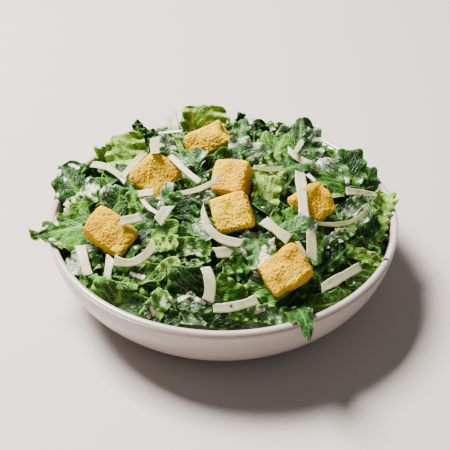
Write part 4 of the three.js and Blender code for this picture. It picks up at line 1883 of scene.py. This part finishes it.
@dataclass
class Dressing:
    """Small drops of thick dressing that cling to the leaves.

    A leaf of one in dressing has a drop for every `leaf_each` square millimetres. The pairs
    `width` and `longer` are what its width in millimetres, and its length as a multiple of
    that, are drawn from, and its height is `flatness` of its width and `least` more.
    """

    rings: int = 9
    turns: int = 14
    lumps: Pattern = Pattern(1, 0, 2)
    lump_share: float = 0.28
    seed: int = 5
    leaf_each: float = 400
    lift: float = 0.3
    width: Pair = (-0.45, 0.45)
    longer: Pair = (1, 1.8)
    flatness: float = 0.3
    least: float = 0.2
    first_seed: int = 900
    apart: int = 17
    drops: Patches = field(default_factory=Patches)
    finish: DressingFinish = DressingFinish()

    def drop(self, middle: Array, outward: Array, along: Array, size: Array, seed: int) -> None:
        """Adds one drop.

        Args:
            middle: where it lies.
            outward: direction away from the leaf.
            along: the direction it has run.
            size: half its length, width and height in millimetres.
            seed: chooses its lumps.
        """
        turns, bands = self.turns, self.rings - 2
        tilt = np.linspace(0, math.pi, self.rings)[1:-1, None]
        turn = np.linspace(0, 2 * math.pi, turns, endpoint=False)[None, :]
        ball = np.stack([np.sin(tilt) * np.cos(turn), np.sin(tilt) * np.sin(turn),
                         np.broadcast_to(np.cos(tilt), (bands, turns))], axis=-1)
        ball = np.concatenate([[[0, 0, 1.0]], ball.reshape(-1, 3), [[0, 0, -1.0]]])
        ball = ball * (1 + self.lump_share * self.lumps.at(ball, seed))[:, None]
        along = unit(along - outward * (along @ outward))
        axes = np.array([along, np.cross(outward, along), outward])
        points = middle + (ball * size) @ axes
        number = 1 + np.arange(bands * turns).reshape(bands, turns)
        following = np.roll(number, -1, axis=1)
        last = len(ball) - 1
        faces = [np.stack([np.zeros(turns, int), number[0], following[0]], 1),
                 np.stack([number[-1], np.full(turns, last), following[-1]], 1)]
        for upper, lower in zip(range(bands - 1), range(1, bands)):
            a, b = number[upper], number[lower]
            c, d = following[lower], following[upper]
            faces += [np.stack([a, b, c], 1), np.stack([a, c, d], 1)]
        mask = np.full((len(points), 4), 0.5)
        self.drops.add(points, np.concatenate(faces), mask, points)

    def cling(self, romaine: Romaine) -> None:
        """Sets drops on the leaves, most where they are well dressed.

        Args:
            romaine: the leaves, already laid.
        """
        draw = np.random.default_rng(self.seed)
        for number, (points, normal, coat) in enumerate(romaine.skins):
            rows, columns = points.shape[:2]
            span = np.linalg.norm(points[-1, 0] - points[0, 0])
            wide = np.linalg.norm(points[rows // 2, -1] - points[rows // 2, 0])
            count = draw.poisson(span * wide / self.leaf_each * coat * coat)
            for k in range(count):
                i = draw.integers(1, rows - 1)
                j = draw.integers(1, columns - 1)
                outward = normal[i, j] * (1 if normal[i, j, 2] >= 0 else -1)
                along = unit(points[i + 1, j] - points[i, j])
                along = unit(along + draw.uniform(-1, 1) * np.cross(outward, along))
                width = draw.lognormal(*self.width)
                length = width * draw.uniform(*self.longer)
                size = np.array([length, width, self.flatness * width + self.least])
                self.drop(points[i, j] + self.lift * outward, outward, along, size,
                          self.first_seed + self.apart * number + k)

    def build(self) -> None:
        """Makes the piece."""
        made = self.drops.build("cream_dressing")
        made.data.materials.append(self.finish.material())
        settle(made)


@dataclass(frozen=True)
class Lamp:
    """A soft square light: its place and side in metres, its power in watts and its tint."""

    name: str
    place: Place
    side: float
    power: float
    tint: Colour

    def build(self, aim: Place) -> None:
        """Adds the light.

        Args:
            aim: where it points, in metres.
        """
        lamp = bpy.data.lights.new(self.name, "AREA")
        lamp.size = self.side
        lamp.energy = self.power
        lamp.color = self.tint
        made = bpy.data.objects.new(self.name, lamp)
        made.location = self.place
        way = Vector(aim) - Vector(self.place)
        made.rotation_euler = way.to_track_quat("-Z", "Y").to_euler()
        bpy.context.scene.collection.objects.link(made)


@dataclass(frozen=True)
class Studio:
    """Plain pale floor, soft light and the camera where the diner's eye is.

    The floor's side, the aim of the lights and the camera's nearest view are in metres.
    """

    floor: float = 8.0
    finish: FloorFinish = FloorFinish()
    key: Lamp = Lamp("key", (-0.65, 0.45, 1.3), 0.55, 142, (1.0, 0.97, 0.92))
    fill: Lamp = Lamp("fill", (0.5, -1.2, 1.2), 1.4, 3.4, (0.95, 0.97, 1.0))
    aim: Place = (0, 0, 0.05)
    sky: Colour = (0.95, 0.97, 1)
    sky_strength: float = 0.18
    lens: float = 80
    sensor: float = 36
    nearest: float = 0.01

    def build(self) -> None:
        """Sets up the floor, the lights and the camera."""
        deselect()
        bpy.ops.mesh.primitive_plane_add(size=self.floor)
        floor = bpy.context.object
        floor.name = "floor"
        floor.data.materials.append(self.finish.material())
        self.key.build(self.aim)
        self.fill.build(self.aim)
        world = bpy.data.worlds.new("studio")
        world.use_nodes = True
        sky = world.node_tree.nodes["Background"]
        sky.inputs["Color"].default_value = (*self.sky, 1)
        sky.inputs["Strength"].default_value = self.sky_strength
        bpy.context.scene.world = world
        self.camera()

    def camera(self) -> None:
        """Puts the camera at the diner's eye."""
        lens = bpy.data.cameras.new("camera")
        lens.lens = self.lens
        lens.sensor_width = self.sensor
        lens.clip_start = self.nearest
        made = bpy.data.objects.new("camera", lens)
        right, up, forward = SIGHT.axes
        turn = Matrix([right, up, -forward]).transposed().to_4x4()
        made.matrix_world = Matrix.Translation(Vector(SIGHT.eye * MM)) @ turn
        bpy.context.scene.collection.objects.link(made)
        bpy.context.scene.camera = made


# ------------------------------------------------------------------ what lies in the heap

# Leaf pieces by region: the large ones that show, each with narrow ones tucked in round it.
LEAVES = [
    # left, one of them lying out over the rim
    Piece((100, 224), (30, 236), (2, 19), 38, Tone.MID, -0.2, shape=Outline.POINT, face=0.2,
          cup=15, ruffle=3, waves=5),
    Piece((86, 202), (60, 166), (-1, 28), 27, Tone.DARK, -0.2, shape=Outline.TIP, cup=-15),
    Piece((98, 184), (90, 164), (-1, 17), 12, Tone.DARK, 0.2, shape=Outline.TIP),
    Piece((106, 203), (84, 184), (3, 11), 13, Tone.COATED, 0.9, face=0.4),
    Piece((70, 218), (104, 200), (1, 10), 12, Tone.MID, 0.3, face=0.4, ruffle=3),
    Piece((100, 176), (125, 186), (0, 7), 12, Tone.DARK, 0.1, face=0.6),
    Piece((102, 258), (64, 268), (2, 8), 16, Tone.COATED, 0.75, shape=Outline.TIP, ruffle=2),
    Piece((100, 275), (94, 250), (-1, 8), 10, Tone.DARK, 0.2),
    # back left
    Piece((128, 178), (121, 133), (-1, 26), 26, Tone.HEART, 0.6, face=0.6, cup=-30, ruffle=3,
          waves=4),
    Piece((112, 168), (100, 148), (-1, 23), 12, Tone.HEART, 0.2, shape=Outline.TIP),
    Piece((140, 136), (136, 121), (16, 26), 8, Tone.DARK, 0.1, shape=Outline.TIP, face=0.6),
    Piece((136, 130), (158, 133), (20, 14), 5, Tone.DARK, 0.1, shape=Outline.TIP, face=0.6),
    Piece((146, 162), (142, 132), (-1, 17), 11, Tone.COATED, 0.7, face=0.6),
    Piece((169, 158), (167, 131), (1, 16), 11, Tone.COATED, 0.9, shape=Outline.TIP, face=0.6),
    Piece((156, 146), (156, 132), (0, 12), 10, Tone.DARK, 0.4, face=0.6),
    Piece((184, 156), (175, 134), (4, 14), 3.5, Tone.HEART, 0.1, shape=Outline.RIB, face=0.6,
          ruffle=0, cup=60),
    Piece((186, 152), (183, 133), (1, 12), 9, Tone.COATED, 0.5, face=0.6),
    # back, standing up behind the croutons
    Piece((203, 142), (203, 105), (0, 25), 30, Tone.HEART, 0.3, face=0.7, ruffle=3, waves=4),
    Piece((214, 140), (220, 112), (0, 18), 16, Tone.HEART, 0.2, shape=Outline.TIP, face=0.7),
    Piece((170, 163), (206, 158), (4, 11), 12, Tone.COATED, 0.7),
    Piece((190, 178), (240, 152), (2, 14), 13, Tone.DARK, 0.3, face=0.75, bend=35),
    Piece((238, 150), (243, 118), (3, 18), 11, Tone.COATED, 0.8, shape=Outline.TIP, face=0.7,
          cup=40),
    Piece((241, 130), (241, 112), (6, 20), 8, Tone.DARK, 0.2, shape=Outline.TIP, face=0.7),
    Piece((259, 140), (258, 119), (2, 16), 12, Tone.DARK, 0.1, shape=Outline.TIP, face=0.7),
    Piece((270, 160), (229, 144), (5, 15), 14, Tone.COATED, 0.8, crinkle=0.6),
    Piece((272, 150), (254, 140), (0, 9), 11, Tone.DARK, 0.4),
    # back right
    Piece((300, 162), (300, 118), (-1, 25), 33, Tone.COATED, 0.72, shape=Outline.TIP, face=0.6,
          ruffle=3, waves=4, crinkle=1.3),
    Piece((280, 142), (279, 122), (1, 16), 9, Tone.HEART, 0.3, shape=Outline.TIP, face=0.6),
    Piece((300, 164), (262, 164), (3, 9), 12, Tone.MID, 0.5, waves=4),
    Piece((290, 184), (252, 171), (1, 11), 10, Tone.HEART, 0.4, ruffle=2, waves=4),
    Piece((262, 214), (268, 176), (-1, 12), 15, Tone.HEART, 0.5, ruffle=2),
    Piece((262, 218), (284, 214), (-4, 4), 14, Tone.DARK, 0, face=0.3),
    Piece((278, 192), (298, 186), (-4, 3), 12, Tone.DARK, 0, face=0.3),
    Piece((334, 196), (328, 158), (0, 14), 20, Tone.COATED, 0.55, ruffle=1.5, crinkle=0.7),
    Piece((352, 192), (350, 149), (-1, 22), 20, Tone.DARK, 0.15, face=0.6, cup=40, ruffle=2,
          crinkle=0.35),
    Piece((362, 198), (370, 167), (-2, 20), 17, Tone.DARK, 0.1, shape=Outline.TIP, face=0.6,
          cup=30, ruffle=2, crinkle=0.35),
    # right, along the rim
    Piece((374, 238), (386, 192), (0, 20), 15, Tone.HEART, 0.5, face=0.5, ruffle=2.5, waves=7,
          crinkle=1.1),
    Piece((336, 214), (371, 204), (3, 12), 14, Tone.COATED, 0.5, face=0.4, ruffle=2),
    Piece((352, 250), (380, 220), (0, 12), 15, Tone.DARK, 0.2, face=0.4),
    Piece((338, 236), (372, 207), (6, 15), 9, Tone.MID, 0.8, face=0.5, ruffle=1.5, crinkle=0.6),
    Piece((386, 228), (372, 264), (-2, 3), 9, Tone.MID, 0.5, face=0.2),
    Piece((320, 246), (350, 232), (5, 12), 7, Tone.COATED, 0.75, ruffle=3, waves=5),
    Piece((314, 272), (346, 244), (1, 10), 15, Tone.DARK, 0.15),
    Piece((340, 266), (374, 244), (0, 8), 14, Tone.DARK, 0.1, face=0.4),
    Piece((345, 250), (380, 262), (4, 14), 8, Tone.HEART, 0.3, ruffle=1.5),
    Piece((344, 288), (384, 258), (0, 15), 13, Tone.MID, 0.5, face=0.4, ruffle=2, waves=4),
    Piece((298, 305), (347, 297), (0, 8), 10, Tone.MID, 0.1, face=0.3, ruffle=1.5),
    Piece((298, 292), (338, 284), (-2, 6), 14, Tone.DARK, 0.1, face=0.4),
    # front, one of them hanging out over the rim
    Piece((291, 300), (309, 340), (3, 24), 19, Tone.DARK, 0.45, shape=Outline.POINT, bend=45,
          cup=-25, bow=2),
    Piece((252, 312), (300, 318), (3, 10), 11, Tone.COATED, 0.45, waves=5),
    Piece((276, 316), (230, 311), (3, 9), 10, Tone.MID, 0.6, ruffle=3, waves=5),
    Piece((174, 301), (212, 307), (3, 9), 9, Tone.COATED, 0.4),
    Piece((150, 320), (166, 292), (0, 10), 13, Tone.MID, 0.7),
    Piece((146, 314), (180, 322), (-1, 5), 11, Tone.DARK, 0.1),
    Piece((175, 311), (207, 325), (1, 6), 13, Tone.COATED, 0.8, shape=Outline.POINT,
          ruffle=0.8, crinkle=0.3),
    Piece((206, 312), (242, 326), (0, 5), 14, Tone.DARK, 0.05),
    # front left
    Piece((148, 248), (178, 241), (3, 11), 9, Tone.HEART, 0.3, face=0.6, ruffle=2, waves=4,
          crinkle=0.5),
    Piece((170, 249), (211, 247), (4, 11), 11, Tone.MID, 0.7, face=0.95, bend=30, cup=60,
          ruffle=2, waves=4),
    Piece((156, 257), (204, 256), (3, 6), 8, Tone.DARK, 0.2, face=0.6, bend=20, cup=40, ruffle=1),
    Piece((182, 267), (211, 258), (4, 9), 5, Tone.MID, 0.8, face=0.8, bend=30, ruffle=1.2),
    Piece((161, 276), (179, 259), (6, 11), 10, Tone.HEART, 0.1, shape=Outline.TIP, face=0.7,
          ruffle=1, crinkle=0.5),
    Piece((150, 240), (180, 224), (4, 12), 11, Tone.MID, 0.4, shape=Outline.TIP, ruffle=2),
    Piece((186, 300), (187, 266), (1, 12), 23, Tone.DARK, 0.1, face=0.7, cup=-30, ruffle=1.5,
          crinkle=0.5),
    Piece((114, 280), (166, 271), (1, 10), 12, Tone.MID, 0.3, ruffle=2),
    Piece((86, 289), (128, 281), (2, 9), 7, Tone.MID, 0.3, face=0.4, ruffle=1.5),
    Piece((112, 304), (116, 281), (1, 11), 28, Tone.MID, -0.2, face=0.75, ruffle=1.6, waves=3,
          bend=30, cup=-35, crinkle=0.5),
    Piece((93, 283), (137, 287), (8, 10), 4.5, Tone.MID, 0.6, face=0.6, ruffle=0.8, cup=-60,
          crinkle=0.3),
    Piece((92, 292), (97, 278), (-1, 12), 11, Tone.MID, 0.2, shape=Outline.TIP),
    Piece((134, 303), (150, 308), (0, 6), 10, Tone.DARK, 0.1),
    # middle
    Piece((112, 224), (118, 186), (-1, 12), 20, Tone.DARK, 0.6, ruffle=2),
    Piece((142, 222), (130, 184), (1, 14), 9, Tone.MID, 0.4, shape=Outline.TIP, face=0.6),
    Piece((158, 226), (170, 183), (2, 16), 8, Tone.COATED, 0.7, face=0.6, cup=50, ruffle=1),
    Piece((186, 206), (177, 180), (0, 12), 10, Tone.DARK, 0.5, shape=Outline.TIP, face=0.6,
          cup=50),
    Piece((172, 230), (190, 197), (1, 12), 20, Tone.DARK, 0.6, waves=4),
    Piece((194, 214), (210, 190), (2, 14), 10, Tone.COATED, 0.8, cup=40),
    Piece((207, 184), (215, 170), (4, 14), 6, Tone.COATED, 0.6, face=0.6, cup=50),
    Piece((188, 224), (214, 236), (3, 12), 11, Tone.COATED, 0.6, ruffle=1.5),
    Piece((257, 233), (266, 268), (5, 11), 19, Tone.COATED, 0.7, face=0.6, ruffle=2, waves=4,
          crinkle=1.5),
    Piece((240, 252), (258, 240), (2, 6), 14, Tone.COATED, 0.6, ruffle=3, crinkle=1.3),
    Piece((250, 264), (222, 268), (3, 9), 9, Tone.MID, 0.7, ruffle=2),
    Piece((242, 300), (216, 280), (2, 9), 14, Tone.MID, 0.4, ruffle=2),
    Piece((210, 286), (244, 262), (0, 6), 16, Tone.DARK, 0.1),
    Piece((244, 268), (282, 300), (1, 8), 17, Tone.MID, 0.45),
    Piece((282, 240), (314, 216), (4, 15), 15, Tone.COATED, 0.6, bend=10, ruffle=1),
    Piece((316, 222), (314, 264), (4, 9), 10, Tone.MID, 0.4, cup=40, ruffle=1),
]

CROUTONS = [
    CroutonPlan((208, 142), 9, (26, 17, 17), -14, 48, 36, 7, 0.5),
    CroutonPlan((155, 177), 8, (24, 24, 17), 10, 45, 40, 7, 0.6),
    CroutonPlan((232, 179), 9, (21, 20, 17), -25, 40, 10, 7, 0.5),
    CroutonPlan((232, 214), 9, (22, 21, 17), -10, 42, 22, 8, 0.4),
    # painted shade: its browning is raised to darken it, as well as for toast
    CroutonPlan((110, 233), 9, (29, 20, 17), 8, 38, -42, 7, 0.75),
    CroutonPlan((312, 204), 9, (20, 21, 16), 55, 41, -10, 8, 0.6),
    CroutonPlan((284, 272), 9, (26, 21, 17), 0, 32, 35, 8, 0.7),
]


def shaving(start: Pair, end: Pair, lift: Pair, width: float, face: float = 0.5,
            bend: float = 12, bow: float = 0) -> Piece:
    """A ribbon of cheese, as wide at its ends as in its middle.

    Args:
        start: where it starts on the sheet.
        end: where it ends on the sheet.
        lift: height of both ends above the bare core.
        width: its width in millimetres.
        face: how far it is turned from lying on the heap to facing the diner.
        bend: its curl along, in degrees.
        bow: its sideways curve in millimetres.

    Returns:
        The thin piece.
    """
    curl = 16
    return Piece(start, end, lift, width, shape=Outline.STRIP, face=face, bend=bend, cup=curl,
                 ruffle=0, bow=bow)


SHAVINGS = [
    shaving((171, 114), (175, 133), (23, 13), 7, face=0.6),
    shaving((155, 137), (155, 153), (18, 25), 6, face=0.7),
    shaving((144, 153), (122, 177), (17, 17), 4.4),
    shaving((91, 164), (125, 181), (20, 12), 4.4, bow=2.5),
    shaving((170, 155), (200, 182), (19, 15), 3.8, bow=-0.8),
    shaving((181, 193), (219, 178), (14, 17), 3.6, bow=-2),
    shaving((138, 194), (154, 192), (15, 15), 4),
    shaving((144, 199), (164, 198), (11, 11), 1.6),
    shaving((141, 197), (160, 214), (13, 13), 2.6, bow=-1.5),
    shaving((169, 206), (158, 222), (15, 14), 6.5),
    shaving((202, 207), (243, 243), (15, 15), 5.2, bow=-7, face=0.6),
    shaving((215, 253), (233, 252), (11, 11), 6),
    shaving((120, 222), (141, 217), (17, 14), 6),
    shaving((114, 260), (153, 246), (13, 13), 5.2, bow=-5),
    shaving((80, 245), (88, 275), (13, 12), 6.2),
    shaving((111, 257), (107, 278), (12, 13), 5),
    shaving((205, 267), (208, 301), (13, 13), 6, bend=25, bow=2),
    shaving((213, 308), (257, 299), (12, 13), 5.6, bow=-1.5),
    shaving((311, 230), (312, 260), (15, 13), 6.2, bend=25),
    shaving((263, 220), (289, 240), (12, 14), 6),
    shaving((297, 241), (306, 256), (17, 17.5), 2.4),
    shaving((322, 288), (361, 266), (12, 12), 5.4),
    shaving((314, 222), (368, 210), (14, 15), 3, bow=-5),
    shaving((335, 230), (355, 231), (11.5, 12), 2.4),
    shaving((347, 191), (379, 196), (14, 13), 4.8),
    shaving((288, 149), (319, 167), (14, 13), 4.8, bow=-2),
    shaving((303, 140), (295, 153), (17, 16), 3),
    shaving((254, 167), (284, 168), (15, 13), 3, bow=-1.5),
    shaving((300, 172), (304, 215), (19.5, 22.5), 6.2, bend=4),
    shaving((307, 174), (315, 181), (14, 15), 2.4),
    shaving((65, 202), (73, 209), (14, 14), 4),
    shaving((160, 133), (182, 131), (17, 17), 1.8),
]

# Thick runs of dressing: two ends on the sheet, and width in millimetres.
RUNS = [
    ((264, 250), (266, 272), 4.4),
    ((262, 268), (269, 270), 3.6),
    ((164, 296), (164, 305), 2.4),
    ((181, 300), (190, 294), 2.8),
    ((190, 295), (204, 303), 1.6),
    ((90, 197), (97, 200), 2.6),
    ((132, 274), (143, 277), 2.4),
    ((171, 298), (175, 308), 1.0),
    ((255, 311), (264, 309), 2.2),
    ((49, 239), (54, 240), 1.9),
    ((248, 117), (253, 129), 2.4),
    ((152, 308), (154, 313), 2.4),
    ((38, 231), (47, 227), 1.5),
    ((54, 245), (60, 244), 1.5),
    ((55, 217), (57, 224), 2.2),
    ((60, 171), (60, 175), 1.6),
    ((70, 164), (78, 168), 2.2),
    ((64, 178), (66, 181), 1.8),
    ((58, 195), (58, 197), 1.5),
    ((88, 187), (93, 190), 2.0),
]


def main() -> None:
    """Builds the salad from the bowl up and reports each piece."""
    logging.basicConfig(level=logging.INFO, format="%(message)s")
    Studio().build()
    Bowl().build()
    Core().build()
    romaine = Romaine()
    romaine.lay_all()
    romaine.build()
    Croutons().build()
    Shavings().build()
    dressing = Dressing()
    dressing.cling(romaine)
    dressing.build()


if __name__ == "__main__":
    main()
